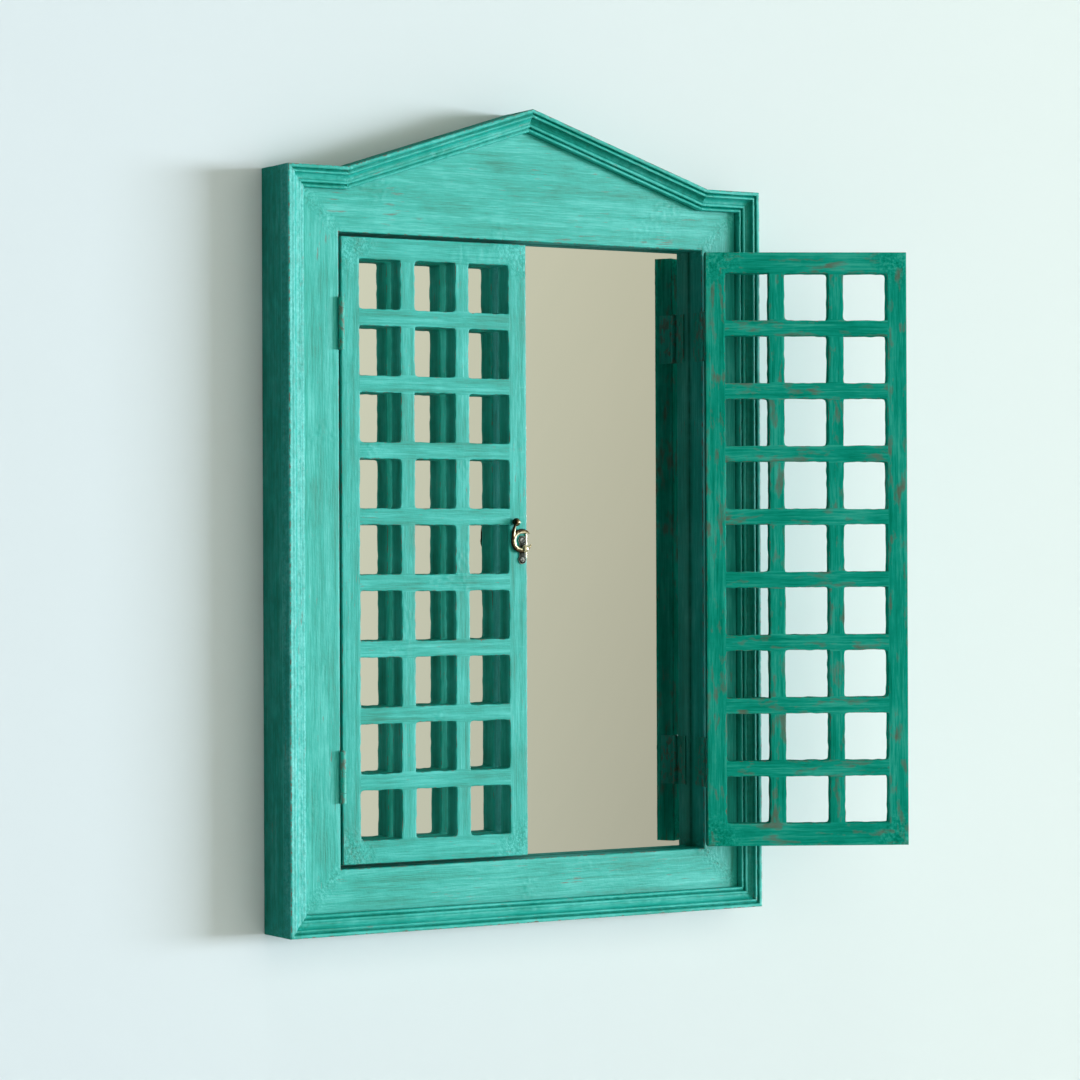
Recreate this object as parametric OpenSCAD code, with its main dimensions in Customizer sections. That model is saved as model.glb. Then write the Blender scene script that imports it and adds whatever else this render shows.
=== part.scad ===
// Window mirror: a moulded wooden wall frame with a low pediment, a mirror behind its opening
// and two lattice doors on butt hinges, one ajar and one wide open.
// X runs to the right, +Y into the wall and +Z up, in millimetres. The origin lies midway
// between the two keyhole hangers, in the plane of the wall.

/* [Frame] */
// Overall width of the frame
frame_w = 414; // [396:1:440]
// Height of the frame up to its level shoulders
shoulder_h = 558; // [530:1:590]
// Rise of the pediment's peak above the shoulders
peak_rise = 52; // [35:1:70]
// Length of each level shoulder, from the corner to the foot of the rake
shoulder_len = 48.6; // [42:0.2:60]
// Width of each stile
stile_w = 47; // [44:0.5:52]
// Height of the bottom rail
rail_h = 47; // [44:0.5:54]
// Height of the head between the opening and the shoulders
head_h = 46.5; // [43:0.5:54]
// Thickness of the frame's timber, from the wall to the flat front face
body_t = 31; // [29:0.5:38]

/* [Moulding] */
// Width of the flat outer fillet
fillet_w = 2.6; // [2:0.1:3.5]
// Height of the outer fillet above the flat front face
fillet_h = 12; // [10.5:0.5:13]
// Width of the groove inside the fillet
groove_w = 1.4; // [1:0.1:1.8]
// Depth of the groove below the lip beside it
groove_d = 0.9; // [0.5:0.1:1.4]
// Width of the lip between groove and cove
lip_w = 1.9; // [1.5:0.1:2.4]
// Drop of the lip below the fillet
lip_drop = 0.7; // [0.4:0.1:1.2]
// Width of the cove
cove_w = 4.6; // [3.5:0.1:5.5]
// Drop of the cove from the lip to its foot
cove_drop = 4.2; // [3:0.1:5]
// Width of each of the two thin beads inside the cove
bead_w = 2; // [1.6:0.1:2.4]
// Width of the quirk between the beads
quirk_w = 1.3; // [0.9:0.1:1.7]
// Depth of the quirk
quirk_d = 1.2; // [0.8:0.1:1.6]
// Drop from the first bead to the second
bead_drop = 0.6; // [0.3:0.1:0.9]

/* [Mirror] */
// Thickness of the mirror glass
glass_t = 3; // [2:0.5:4]
// Thickness of the backing board
board_t = 3; // [2:0.5:4]
// Width of the rebate that holds glass and board
rebate_w = 6; // [5:0.5:8]
// Clearance round the glass and the board in the rebate
glass_clear = 0.5; // [0.3:0.1:1]
// Gap between the back of a closed door and the glass
glass_gap = 2.5; // [1.5:0.5:4]

/* [Doors] */
// Thickness of the doors
door_t = 15; // [13:0.5:16]
// Gap between a door and the opening at its top and its bottom
door_clear = 3; // [2:0.5:4]
// Gap between the two meeting stiles when both doors are closed
meeting_gap = 4.4; // [3.6:0.2:6]
// Width of the door stiles
door_stile_w = 15; // [14:0.5:18]
// Height of the top rail of a door
door_top_h = 16; // [14:0.5:20]
// Height of the bottom rail of a door
door_bottom_h = 17; // [14:0.5:20]
// Width of the uprights of the lattice
upright_w = 11.7; // [10:0.1:14]
// Height of the cross bars of the lattice
bar_h = 12; // [10:0.5:14]
// Radius of the scooped corners of the cells
scoop_r = 2.5; // [1.5:0.5:4]
// Length of the stub tenons that house the bars in stiles and rails
tenon_l = 4.5; // [3:0.5:5]
// Thickness of the stub tenons
tenon_t = 6; // [5:0.5:7]
// Set-back of a tenon's cheeks from the sides of its bar
tenon_shoulder = 2; // [1.5:0.5:3]
// Clearance in the half-laps and mortises
joint_clear = 0.1; // [0.05:0.05:0.2]
// Angle at which the left door stands ajar
left_open = 1.1; // [0.5:0.1:40]
// Angle at which the right door stands open
right_open = 151; // [90:1:165]

/* [Hinges] */
// Length of the butt hinges
hinge_l = 38; // [32:1:50]
// Distance of a hinge's middle from the end of the door
hinge_inset = 64; // [50:1:90]
// Thickness of a hinge leaf
leaf_t = 0.7; // [0.6:0.1:1]
// Width of a leaf from the pin to its free edge
leaf_w = 13; // [12:0.5:15]
// Gap between the two folded leaves
leaf_gap = 0.4; // [0.3:0.1:0.8]
// Radius of the knuckles
barrel_r = 2.2; // [2:0.1:2.6]
// Radius of the hinge pin
pin_r = 1; // [0.8:0.1:1.2]
// Radial running clearance of the pin in the moving knuckles
pin_clear = 0.06; // [0.04:0.01:0.08]
// Distance between the two screws of a leaf
leaf_screw_pitch = 24; // [20:0.5:26]

/* [Latch] */
// Radius of the round lobes of the latch plate
lobe_r = 3.5; // [3.2:0.1:4]
// Distance between the two screws of the latch plate
lobe_pitch = 14.4; // [13:0.2:17]
// Thickness of the latch plate and the keeper plate
plate_t = 1.2; // [1:0.1:1.6]
// Distance of the latch plate's middle from the edge of the meeting stile
plate_inset = 4.4; // [4.2:0.1:5]
// Radius of the rivet that the hook turns on
rivet_r = 1.3; // [1.1:0.1:1.5]
// Thickness of the hook
hook_t = 1.8; // [1.5:0.1:2.2]
// Outer radius of the hook's C
hook_r = 9; // [8.6:0.1:9.2]
// Radius of the hook's round jaw
jaw_r = 5.4; // [5.2:0.1:5.6]
// Clearance between the path of the peg and the inside of the hook's nose
nose_clear = 0.7; // [0.5:0.1:0.9]
// Radius of the ball knob on the hook
knob_r = 3.1; // [2.6:0.1:3.3]
// Radius of the keeper's peg
peg_r = 1.3; // [1.1:0.1:1.4]
// Distance of the peg's middle from the edge of the right door
peg_inset = 2.3; // [2.1:0.1:3]

/* [Wall hangers] */
// Distance of the hanging holes below the shoulders
hang_drop = 58; // [45:1:90]
// Distance of the hanging holes from the sides of the frame
hang_inset = 20; // [17:0.5:24]
// Radius of the hole that takes the head of a wall screw
entry_r = 4.5; // [4:0.1:5]
// Width of the slot that takes the shank of a wall screw
slot_w = 4.6; // [4:0.1:5]
// Rise of the slot above the middle of the hole
slot_rise = 7.5; // [6.5:0.5:9]
// Thickness of a hanger plate
hanger_t = 1.5; // [1.2:0.1:2]
// Width of a hanger plate
hanger_w = 16; // [15:0.5:18]
// Depth of the pocket behind a hanger plate
pocket_d = 8; // [6:0.5:10]

/* [Hidden] */
$fn = 48;
columns = 3;
rows = 9;
// fasteners: shank radius, head radius and length under the head's face
hinge_screw = [1, 1.9, 8.5];
latch_screw = [0.9, 1.7, 8];
hanger_screw = [1.6, 3, 14];
// radial clearance of fasteners in the wood, and of a fixed pin or rivet in its plate
screw_clear = 0.1;
fixed_clear = 0.02;
// nails through the mitres, from the frame's ends and from the wall
nail_r = 0.9;
nail_l = 38;
nail_sink = 1.5;
nail_head_r = 1.7;
nail_head_h = 0.8;
nail_end = 18.7;
nail_depths = [9, 22];
// pins behind the board, at these shares of the opening's height and width
brad_r = 0.6;
brad_l = 13;
brad_bite = 8;
brads_up = [0.15, 0.5, 0.85];
brads_along = [-0.25, 0.25];
// overlap of cutting tools past a face
cut = 1;

opening_w = frame_w - 2 * stile_w;
opening_h = shoulder_h - rail_h - head_h;
hang_z = shoulder_h - hang_drop;
reveal_d = door_t + glass_gap;
glass_back = body_t - reveal_d - glass_t;
board_back = glass_back - board_t;

hinge_gap = 2 * leaf_t + leaf_gap;
door_w = (opening_w - 2 * hinge_gap - meeting_gap) / 2;
door_h = opening_h - 2 * door_clear;
door_x = -opening_w / 2 + hinge_gap;
door_z = rail_h + door_clear;
cell_w = (door_w - 2 * door_stile_w - (columns - 1) * upright_w) / columns;
cell_h = (door_h - door_top_h - door_bottom_h - (rows - 1) * bar_h) / rows;
pin_x = -opening_w / 2 + hinge_gap / 2;
barrel_gap = 0.1;
pin_y = -body_t - barrel_r - barrel_gap;
hinge_z = [door_z + hinge_inset, door_z + door_h - hinge_inset];
knuckle_gap = 0.3;
knuckle_l = hinge_l / 5;
leaf_step = 0.3;
leaf_start = barrel_r + leaf_step;
pin_head_r = 1.6;
pin_head_h = 0.6;
leaf_screw_y = (leaf_start + leaf_w) / 2;

// moulding: places across its width, from the outer side inwards, and heights of its members
lip_h = fillet_h - lip_drop;
lip_u = fillet_w + groove_w;
cove_u = lip_u + lip_w;
bead_u = cove_u + cove_w;
quirk_u = bead_u + bead_w;
inner_bead_u = quirk_u + quirk_w;
moulding_w = inner_bead_u + bead_w;
bead_h = lip_h - cove_drop;
inner_bead_h = bead_h - bead_drop;
round_steps = 6;

// latch: places of the hook's features from the rivet, with the hook upright
rivet_dx = 1.7;
rivet_dz = 0.8;
peg_dz = 2;
eye_r = 3;
boss_r = 2.8;
plate_waist = 5.2;
nose_from = 73;
nose_to = 104;
mouth_from = 35;
stem_foot = [-10.4, 8.5];
knob_c = [-8.3, 20];
stem_w = 2.6;
knob_gap = 0.5;
hook_gap = 0.15;
hook_clear = 0.08;
rivet_head_r = 2.2;
rivet_head_h = 1.1;
peg_head_r = 1.8;
peg_head_h = 0.9;
peg_head_bevel = 0.4;
peg_boss_r = 2.3;
// depth to which the rivet and the peg go into the wood
stud_bite = 1.5;
keeper_inset = 4;
latch_x = -meeting_gap / 2 - plate_inset;
latch_z = door_z + door_h / 2;
rivet_x = latch_x + rivet_dx;
rivet_z = latch_z + rivet_dz;
hook_y = -body_t - plate_t - hook_gap;
peg_x = meeting_gap / 2 + peg_inset;
peg_z = rivet_z + peg_dz;
peg_dx = peg_x - rivet_x;
keeper_x = meeting_gap / 2 + keeper_inset;
// where the peg lies in the upright hook once the hook has turned a right angle onto it, and
// the middles of the jaw and of the C's outer edge from there
seat = [-peg_dz, peg_dx];
jaw_offset = [-0.8, -3.5];
hook_offset = [-1.1, -3.4];
jaw_c = seat + jaw_offset;
hook_c = seat + hook_offset;
nose_reach = norm(seat) + peg_r + nose_clear;

// hanger plates: from the hanging hole down and up to the ends and to the screws
hanger_down = 17;
hanger_up = 21;
hanger_screws_z = [-12, 16];
pocket_side = 1.5;

// corners of the frame's outline, counterclockwise as seen from the front, from the lower left
outline = [
    [-frame_w / 2, 0],
    [frame_w / 2, 0],
    [frame_w / 2, shoulder_h],
    [frame_w / 2 - shoulder_len, shoulder_h],
    [0, shoulder_h + peak_rise],
    [-frame_w / 2 + shoulder_len, shoulder_h],
    [-frame_w / 2, shoulder_h]
];
// corners of the opening, in the same turn
opening = [
    [-opening_w / 2, rail_h],
    [opening_w / 2, rail_h],
    [opening_w / 2, rail_h + opening_h],
    [-opening_w / 2, rail_h + opening_h]
];

function unit(v) = v / norm(v);
function left_of(d) = [-d[1], d[0]];
// corner i of the outline moved inwards by w, along the mitre of its two edges
function inset(i, w) =
    let (n = len(outline),
         b = outline[i % n],
         n1 = left_of(unit(b - outline[(i + n - 1) % n])),
         n2 = left_of(unit(outline[(i + 1) % n] - b)))
    b + w * (n1 + n2) / (1 + n1 * n2);
// points of an arc about c, of half-axes rx and ry, from angle a to angle b
function arc(c, rx, ry, a, b) =
    [for (k = [0:round_steps]) let (t = a + (b - a) * k / round_steps) c + [rx * cos(t), ry * sin(t)]];

// moves everything from the frame's lower edge to the height of the hangers
module hung() {
    translate([0, 0, -hang_z]) children();
}

// plate with the given plan in X and Z, from depth y0 forwards by t
module plank(plan, y0, t) {
    translate([0, y0, 0]) rotate([90, 0, 0]) linear_extrude(t) polygon(plan);
}

// round bar along X from the given point
module bar_x(p, r, l) {
    translate(p) rotate([0, 90, 0]) cylinder(h = l, r = r);
}

// countersunk wood screw, its head's face at the origin and its shank down -Z
module screw(s) {
    r = s[0];
    head_r = s[1];
    l = s[2];
    slot = [2 * head_r + cut, head_r / 4, head_r / 3];
    difference() {
        union() {
            translate([0, 0, -(head_r - r)]) cylinder(h = head_r - r, r1 = r, r2 = head_r);
            translate([0, 0, -l + 2 * r]) cylinder(h = l - 2 * r, r = r);
            translate([0, 0, -l]) cylinder(h = 2 * r, r1 = r / 4, r2 = r);
        }
        cube(slot + [0, 0, slot[2]], center = true);
    }
}

// hole for that screw, with its countersink
module screw_hole(s) {
    r = s[0] + screw_clear;
    head_r = s[1] + screw_clear;
    translate([0, 0, -(head_r - r)]) cylinder(h = head_r - r, r1 = r, r2 = head_r);
    translate([0, 0, -s[2] - screw_clear]) cylinder(h = s[2] + 2 * screw_clear, r = r);
    cylinder(h = cut, r = head_r);
}

// nail along X, head first, sunk below the side of the frame
module nail(grow = 0) {
    bar_x([0, 0, 0], nail_head_r + grow, nail_head_h + grow);
    bar_x([0, 0, 0], nail_r + grow, nail_l + grow);
}

// two nails through each mitre on the left side, or the space they fill
module left_mitre_nails(grow = 0) {
    for (z = [nail_end, shoulder_h - nail_end])
        for (y = nail_depths)
            translate([-frame_w / 2 + nail_sink, -y, z]) nail(grow);
}

module both_sides() {
    children();
    mirror([1, 0, 0]) children();
}

// pins driven into the wall of the rebate, tight behind the board
module brads(grow = 0) {
    y = -board_back + brad_r;
    x = opening_w / 2 + rebate_w + brad_bite;
    for (z = brads_up)
        both_sides() bar_x([-x, y, rail_h + z * opening_h], brad_r + grow, brad_l);
    for (k = brads_along) {
        translate([k * opening_w, y, rail_h - rebate_w - brad_bite])
            cylinder(h = brad_l, r = brad_r + grow);
        translate([k * opening_w, y, rail_h + opening_h + rebate_w + brad_bite - brad_l])
            cylinder(h = brad_l, r = brad_r + grow);
    }
}

// rebate behind the opening
module rebate() {
    translate([-opening_w / 2 - rebate_w, -body_t + reveal_d, rail_h - rebate_w])
        cube([opening_w + 2 * rebate_w, body_t, opening_h + 2 * rebate_w]);
}

// outline of a hanger plate, with the keyhole's centre at the origin
module hanger_outline(grow = 0) {
    r = hanger_w / 2 + grow;
    translate([-r, -hanger_down + hanger_w / 2]) square([2 * r, hanger_down + hanger_up - hanger_w]);
    translate([0, -hanger_down + hanger_w / 2]) circle(r);
    translate([0, hanger_up - hanger_w / 2]) circle(r);
}

module keyhole() {
    circle(entry_r);
    translate([-slot_w / 2, 0]) square([slot_w, slot_rise]);
    translate([0, slot_rise]) circle(slot_w / 2);
}

// puts a drawing of the left hanger on the back of the left stile, its outside at the wall
module at_left_hanger() {
    translate([-frame_w / 2 + hang_inset, 0, hang_z]) rotate([90, 0, 0]) children();
}

// recess for the plate, pocket for the screw head and holes for the plate's own screws
module left_hanger_cuts() {
    at_left_hanger() {
        translate([0, 0, -cut]) linear_extrude(hanger_t + cut) hanger_outline(joint_clear);
        translate([-entry_r - pocket_side, -entry_r - pocket_side, 0])
            cube([2 * (entry_r + pocket_side),
                  2 * (entry_r + pocket_side) + slot_rise,
                  hanger_t + pocket_d]);
        hanger_screw_places() screw_hole(hanger_screw);
    }
}

module hanger_screw_places() {
    for (z = hanger_screws_z) translate([0, z, 0]) rotate([180, 0, 0]) children();
}

module hanger_plate() {
    difference() {
        linear_extrude(hanger_t) hanger_outline();
        translate([0, 0, -cut]) linear_extrude(hanger_t + 2 * cut) keyhole();
        hanger_screw_places() screw_hole(hanger_screw);
    }
}

// frame timber

module left_stile_timber() {
    difference() {
        plank([outline[0], opening[0], opening[3], outline[6]], 0, body_t);
        rebate();
        left_hanger_cuts();
        left_mitre_nails(screw_clear);
        brads(screw_clear);
        for (z = hinge_z) at_pin(z) leaf_screw_places(-1) screw_hole(hinge_screw);
    }
}

module left_stile() {
    color("mediumturquoise") hung() left_stile_timber();
}

module right_stile() {
    color("mediumturquoise") hung() mirror([1, 0, 0]) left_stile_timber();
}

module bottom_rail() {
    color("mediumturquoise") hung() difference() {
        plank([outline[0], outline[1], opening[1], opening[0]], 0, body_t);
        rebate();
        both_sides() left_mitre_nails(screw_clear);
        brads(screw_clear);
    }
}

module pediment_head() {
    color("mediumturquoise") hung() difference() {
        plank([opening[3], opening[2], outline[2], outline[3], outline[4], outline[5], outline[6]],
              0, body_t);
        rebate();
        both_sides() left_mitre_nails(screw_clear);
        brads(screw_clear);
    }
}

module mitre_nails() {
    color("dimgray") hung() both_sides() left_mitre_nails();
}

// section of the moulding: across its width from the outer side, and up from the flat face
module moulding_section() {
    polygon(concat(
        [[0, 0], [0, fillet_h], [fillet_w, fillet_h], [fillet_w, lip_h - groove_d],
         [lip_u, lip_h - groove_d]],
        arc([lip_u + lip_w / 2, lip_h - groove_d], lip_w / 2, groove_d, 180, 90),
        [[cove_u, lip_h]],
        arc([bead_u, lip_h], cove_w, cove_drop, 180, 270),
        arc([bead_u + bead_w / 2, bead_h], bead_w / 2, bead_drop / 2, 180, 0),
        [[quirk_u, bead_h - quirk_d], [inner_bead_u, bead_h - quirk_d]],
        arc([inner_bead_u + bead_w / 2, inner_bead_h - bead_w / 2], bead_w / 2, bead_w / 2, 180, 0),
        [[moulding_w, 0]]
    ));
}

// length of moulding on edge i of the outline, mitred at both ends
module moulding(i) {
    n = len(outline);
    a = outline[i];
    b = outline[(i + 1) % n];
    angle = atan2(b[1] - a[1], b[0] - a[0]);
    color("turquoise") hung() intersection() {
        plank([a, b, inset(i + 1, moulding_w), inset(i, moulding_w)], -body_t, fillet_h);
        translate([a[0], -body_t, a[1]]) rotate([0, -angle, 0])
            translate([-moulding_w, 0, 0]) rotate([90, 0, 90])
                linear_extrude(norm(b - a) + 2 * moulding_w)
                    rotate(90) moulding_section();
    }
}

// mirror and board

module glazing(y0, t) {
    w = opening_w + 2 * (rebate_w - glass_clear);
    h = opening_h + 2 * (rebate_w - glass_clear);
    translate([-w / 2, -y0 - t, rail_h - rebate_w + glass_clear]) cube([w, t, h]);
}

module mirror_glass() {
    color("lightsteelblue") hung() glazing(glass_back, glass_t);
}

module backing_board() {
    color("peru") hung() glazing(board_back, board_t);
}

module backing_pins() {
    color("silver") hung() brads();
}

module left_hanger() {
    color("silver") hung() at_left_hanger() hanger_plate();
}

module right_hanger() {
    color("silver") hung() mirror([1, 0, 0]) at_left_hanger() hanger_plate();
}

module hanger_screws() {
    color("silver") hung() both_sides() at_left_hanger() hanger_screw_places() screw(hanger_screw);
}

// butt hinges, drawn for the left door with the door closed

// puts a drawing about the pin at height z in the frame
module at_pin(z) {
    translate([pin_x, pin_y, z]) children();
}

// screws of the leaf on side -1, the frame, or side 1, the door, driven away from the gap
module leaf_screw_places(side) {
    for (dz = [-leaf_screw_pitch / 2, leaf_screw_pitch / 2])
        translate([side * leaf_gap / 2, leaf_screw_y, dz]) rotate([0, -side * 90, 0]) children();
}

// leaf on the given side with the knuckles listed, counted from 0 at the bottom
module leaf(side, knuckles, bore_r) {
    difference() {
        union() {
            translate([side > 0 ? leaf_gap / 2 : -leaf_gap / 2 - leaf_t, leaf_start, -hinge_l / 2])
                cube([leaf_t, leaf_w - leaf_start, hinge_l]);
            for (k = knuckles) translate([0, 0, -hinge_l / 2 + k * knuckle_l + knuckle_gap / 2]) {
                cylinder(h = knuckle_l - knuckle_gap, r = barrel_r);
                translate([side > 0 ? leaf_gap / 2 : -leaf_gap / 2 - leaf_t, 0, 0])
                    cube([leaf_t, leaf_start + leaf_t, knuckle_l - knuckle_gap]);
            }
        }
        translate([0, 0, -hinge_l]) cylinder(h = 2 * hinge_l, r = bore_r);
        leaf_screw_places(side) screw_hole(hinge_screw);
    }
}

module frame_leaf(z) {
    at_pin(z) leaf(-1, [0, 2, 4], pin_r + fixed_clear);
}

module door_leaf(z) {
    at_pin(z) leaf(1, [1, 3], pin_r + pin_clear);
}

// pin with a thin flat head on the top knuckle
module hinge_pin(z) {
    at_pin(z) {
        translate([0, 0, -hinge_l / 2]) cylinder(h = hinge_l, r = pin_r);
        translate([0, 0, hinge_l / 2]) cylinder(h = pin_head_h, r = pin_head_r);
    }
}

module left_lower_frame_leaf() {
    color("mediumseagreen") hung() frame_leaf(hinge_z[0]);
}

module left_upper_frame_leaf() {
    color("mediumseagreen") hung() frame_leaf(hinge_z[1]);
}

module right_lower_frame_leaf() {
    color("mediumseagreen") hung() mirror([1, 0, 0]) frame_leaf(hinge_z[0]);
}

module right_upper_frame_leaf() {
    color("mediumseagreen") hung() mirror([1, 0, 0]) frame_leaf(hinge_z[1]);
}

module left_lower_hinge_pin() {
    color("gray") hung() hinge_pin(hinge_z[0]);
}

module left_upper_hinge_pin() {
    color("gray") hung() hinge_pin(hinge_z[1]);
}

module right_lower_hinge_pin() {
    color("gray") hung() mirror([1, 0, 0]) hinge_pin(hinge_z[0]);
}

module right_upper_hinge_pin() {
    color("gray") hung() mirror([1, 0, 0]) hinge_pin(hinge_z[1]);
}

module frame_leaf_screws() {
    color("gray") hung() both_sides() for (z = hinge_z) at_pin(z)
        leaf_screw_places(-1) screw(hinge_screw);
}

// doors, drawn as the left door, closed, and then turned about the pin

// swings the left door open to where it stands ajar
module in_left_door() {
    hung() translate([pin_x, pin_y, 0]) rotate([0, 0, -left_open])
        translate([-pin_x, -pin_y, 0]) children();
}

// the right door is the left one in the looking glass, swung wide open
module in_right_door() {
    hung() translate([-pin_x, pin_y, 0]) rotate([0, 0, right_open])
        translate([pin_x, -pin_y, 0]) mirror([1, 0, 0]) children();
}

// left edge of upright k of the lattice, and lower edge of cross bar k, from the door's corner
function upright_s(k) = door_stile_w + (k + 1) * cell_w + k * upright_w;
function bar_s(k) = door_bottom_h + (k + 1) * cell_h + k * bar_h;

// plate with the given plan, measured from the hinge edge and the foot of the door
module door_plank(plan) {
    translate([door_x, 0, door_z]) plank(plan, -body_t + door_t, door_t);
}

// core of the door's thickness between two places: the stub tenons are its ends
module core(x0, x1, z0, z1, grow) {
    translate([door_x + x0 - grow, -body_t + (door_t - tenon_t) / 2 - grow, door_z + z0 - grow])
        cube([x1 - x0 + 2 * grow, tenon_t + 2 * grow, z1 - z0 + 2 * grow]);
}

// core of cross bar k, with its stub tenons, or the mortises for them
module bar_core(k, grow = 0) {
    core(door_stile_w - tenon_l, door_w - door_stile_w + tenon_l,
         bar_s(k) + tenon_shoulder, bar_s(k) + bar_h - tenon_shoulder, grow);
}

// core of upright k, with its stub tenons, or the mortises for them
module upright_core(k, grow = 0) {
    core(upright_s(k) + tenon_shoulder, upright_s(k) + upright_w - tenon_shoulder,
         door_bottom_h - tenon_l, door_h - door_top_h + tenon_l, grow);
}

// fillets in the corners of a row of cells, above height h or below it, rooted in the wood there
module scoops(h, above) {
    translate([door_x, -body_t + door_t, door_z]) rotate([90, 0, 0]) linear_extrude(door_t)
        for (c = [0:columns - 1])
            for (side = [0, 1])
                translate([door_stile_w + c * (cell_w + upright_w) + side * cell_w, h])
                    mirror([side, 0]) mirror([0, above ? 0 : 1]) difference() {
                        translate([0, -cut]) square([scoop_r, scoop_r + cut]);
                        translate([scoop_r, scoop_r]) circle(scoop_r);
                    }
}

module hinge_stile() {
    difference() {
        door_plank([[0, 0], [door_stile_w, door_bottom_h],
                    [door_stile_w, door_h - door_top_h], [0, door_h]]);
        for (k = [0:rows - 2]) bar_core(k, joint_clear);
        for (z = hinge_z) at_pin(z) leaf_screw_places(1) screw_hole(hinge_screw);
    }
}

module meeting_stile() {
    difference() {
        door_plank([[door_w, 0], [door_w, door_h],
                    [door_w - door_stile_w, door_h - door_top_h],
                    [door_w - door_stile_w, door_bottom_h]]);
        for (k = [0:rows - 2]) bar_core(k, joint_clear);
        children();
    }
}

module door_top_rail() {
    difference() {
        union() {
            door_plank([[0, door_h], [door_stile_w, door_h - door_top_h],
                        [door_w - door_stile_w, door_h - door_top_h], [door_w, door_h]]);
            scoops(door_h - door_top_h, false);
        }
        for (k = [0:columns - 2]) upright_core(k, joint_clear);
    }
}

module door_bottom_rail() {
    difference() {
        union() {
            door_plank([[0, 0], [door_w, 0], [door_w - door_stile_w, door_bottom_h],
                        [door_stile_w, door_bottom_h]]);
            scoops(door_bottom_h, true);
        }
        for (k = [0:columns - 2]) upright_core(k, joint_clear);
    }
}

// upright k, halved from the front where the cross bars pass
module upright(k) {
    s = upright_s(k);
    difference() {
        union() {
            door_plank([[s, door_bottom_h], [s + upright_w, door_bottom_h],
                        [s + upright_w, door_h - door_top_h], [s, door_h - door_top_h]]);
            upright_core(k);
        }
        for (b = [0:rows - 2])
            translate([door_x + s - cut, -body_t - cut, door_z + bar_s(b) - joint_clear])
                cube([upright_w + 2 * cut, door_t / 2 + cut, bar_h + 2 * joint_clear]);
    }
}

// all the cross bars, halved from the back where they pass the uprights
module cross_bars() {
    for (b = [0:rows - 2]) difference() {
        union() {
            door_plank([[door_stile_w, bar_s(b)], [door_w - door_stile_w, bar_s(b)],
                        [door_w - door_stile_w, bar_s(b) + bar_h], [door_stile_w, bar_s(b) + bar_h]]);
            bar_core(b);
            scoops(bar_s(b) + bar_h, true);
            scoops(bar_s(b), false);
        }
        for (k = [0:columns - 2])
            translate([door_x + upright_s(k) - joint_clear, -body_t + door_t / 2,
                       door_z + bar_s(b) - scoop_r - cut])
                cube([upright_w + 2 * joint_clear, door_t, bar_h + 2 * (scoop_r + cut)]);
    }
}

// latch on the meeting stile of the left door, drawn with the doors closed

// puts a flat drawing, whose Y is up and whose Z comes out, on the front at x, y and z
module on_front(x, y, z) {
    translate([x, y, z]) rotate([90, 0, 0]) children();
}

// flat plate with two round lobes
module lobed_plate() {
    for (dz = [-lobe_pitch / 2, lobe_pitch / 2]) translate([0, dz]) circle(lobe_r);
    translate([-plate_waist / 2, -lobe_pitch / 2]) square([plate_waist, lobe_pitch]);
}

// hole in the front of the door for the rivet or the peg, with its middle at x and z
module stud_hole(x, z, r) {
    on_front(x, -body_t + stud_bite, z) cylinder(h = stud_bite + cut, r = r + screw_clear);
}

module plate_screw_places(x) {
    for (dz = [-lobe_pitch / 2, lobe_pitch / 2])
        on_front(x, -body_t - plate_t, latch_z + dz) children();
}

module left_meeting_stile_timber() {
    meeting_stile() {
        plate_screw_places(latch_x) screw_hole(latch_screw);
        stud_hole(rivet_x, rivet_z, rivet_r);
    }
}

module left_hinge_stile() {
    color("lightseagreen") in_left_door() hinge_stile();
}

module left_meeting_stile() {
    color("lightseagreen") in_left_door() left_meeting_stile_timber();
}

module left_top_rail() {
    color("mediumturquoise") in_left_door() door_top_rail();
}

module left_bottom_rail() {
    color("mediumturquoise") in_left_door() door_bottom_rail();
}

module left_upright_1() {
    color("lightseagreen") in_left_door() upright(0);
}

module left_upright_2() {
    color("lightseagreen") in_left_door() upright(1);
}

module left_cross_bars() {
    color("mediumturquoise") in_left_door() cross_bars();
}

module left_lower_door_leaf() {
    color("mediumseagreen") in_left_door() door_leaf(hinge_z[0]);
}

module left_upper_door_leaf() {
    color("mediumseagreen") in_left_door() door_leaf(hinge_z[1]);
}

module left_door_leaf_screws() {
    color("gray") in_left_door() for (z = hinge_z) at_pin(z) leaf_screw_places(1) screw(hinge_screw);
}

module latch_plate() {
    color("olive") in_left_door() difference() {
        union() {
            on_front(latch_x, -body_t, latch_z) linear_extrude(plate_t) lobed_plate();
            on_front(rivet_x, -body_t, rivet_z) cylinder(h = plate_t, r = boss_r);
        }
        on_front(rivet_x, -body_t + cut, rivet_z)
            cylinder(h = plate_t + 2 * cut, r = rivet_r + fixed_clear);
        plate_screw_places(latch_x) screw_hole(latch_screw);
    }
}

module latch_screws() {
    color("darkolivegreen") in_left_door() plate_screw_places(latch_x) screw(latch_screw);
}

// rivet: shank through the plate and the hook, and a domed head over the hook
module latch_rivet() {
    dome_r = (rivet_head_r * rivet_head_r + rivet_head_h * rivet_head_h) / (2 * rivet_head_h);
    top = plate_t + 2 * hook_gap + hook_t;
    color("olive") in_left_door() on_front(rivet_x, -body_t, rivet_z) {
        translate([0, 0, -stud_bite]) cylinder(h = stud_bite + top, r = rivet_r);
        translate([0, 0, top]) intersection() {
            translate([0, 0, rivet_head_h - dome_r]) sphere(dome_r);
            cylinder(h = rivet_head_h, r = rivet_head_r);
        }
    }
}

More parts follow.
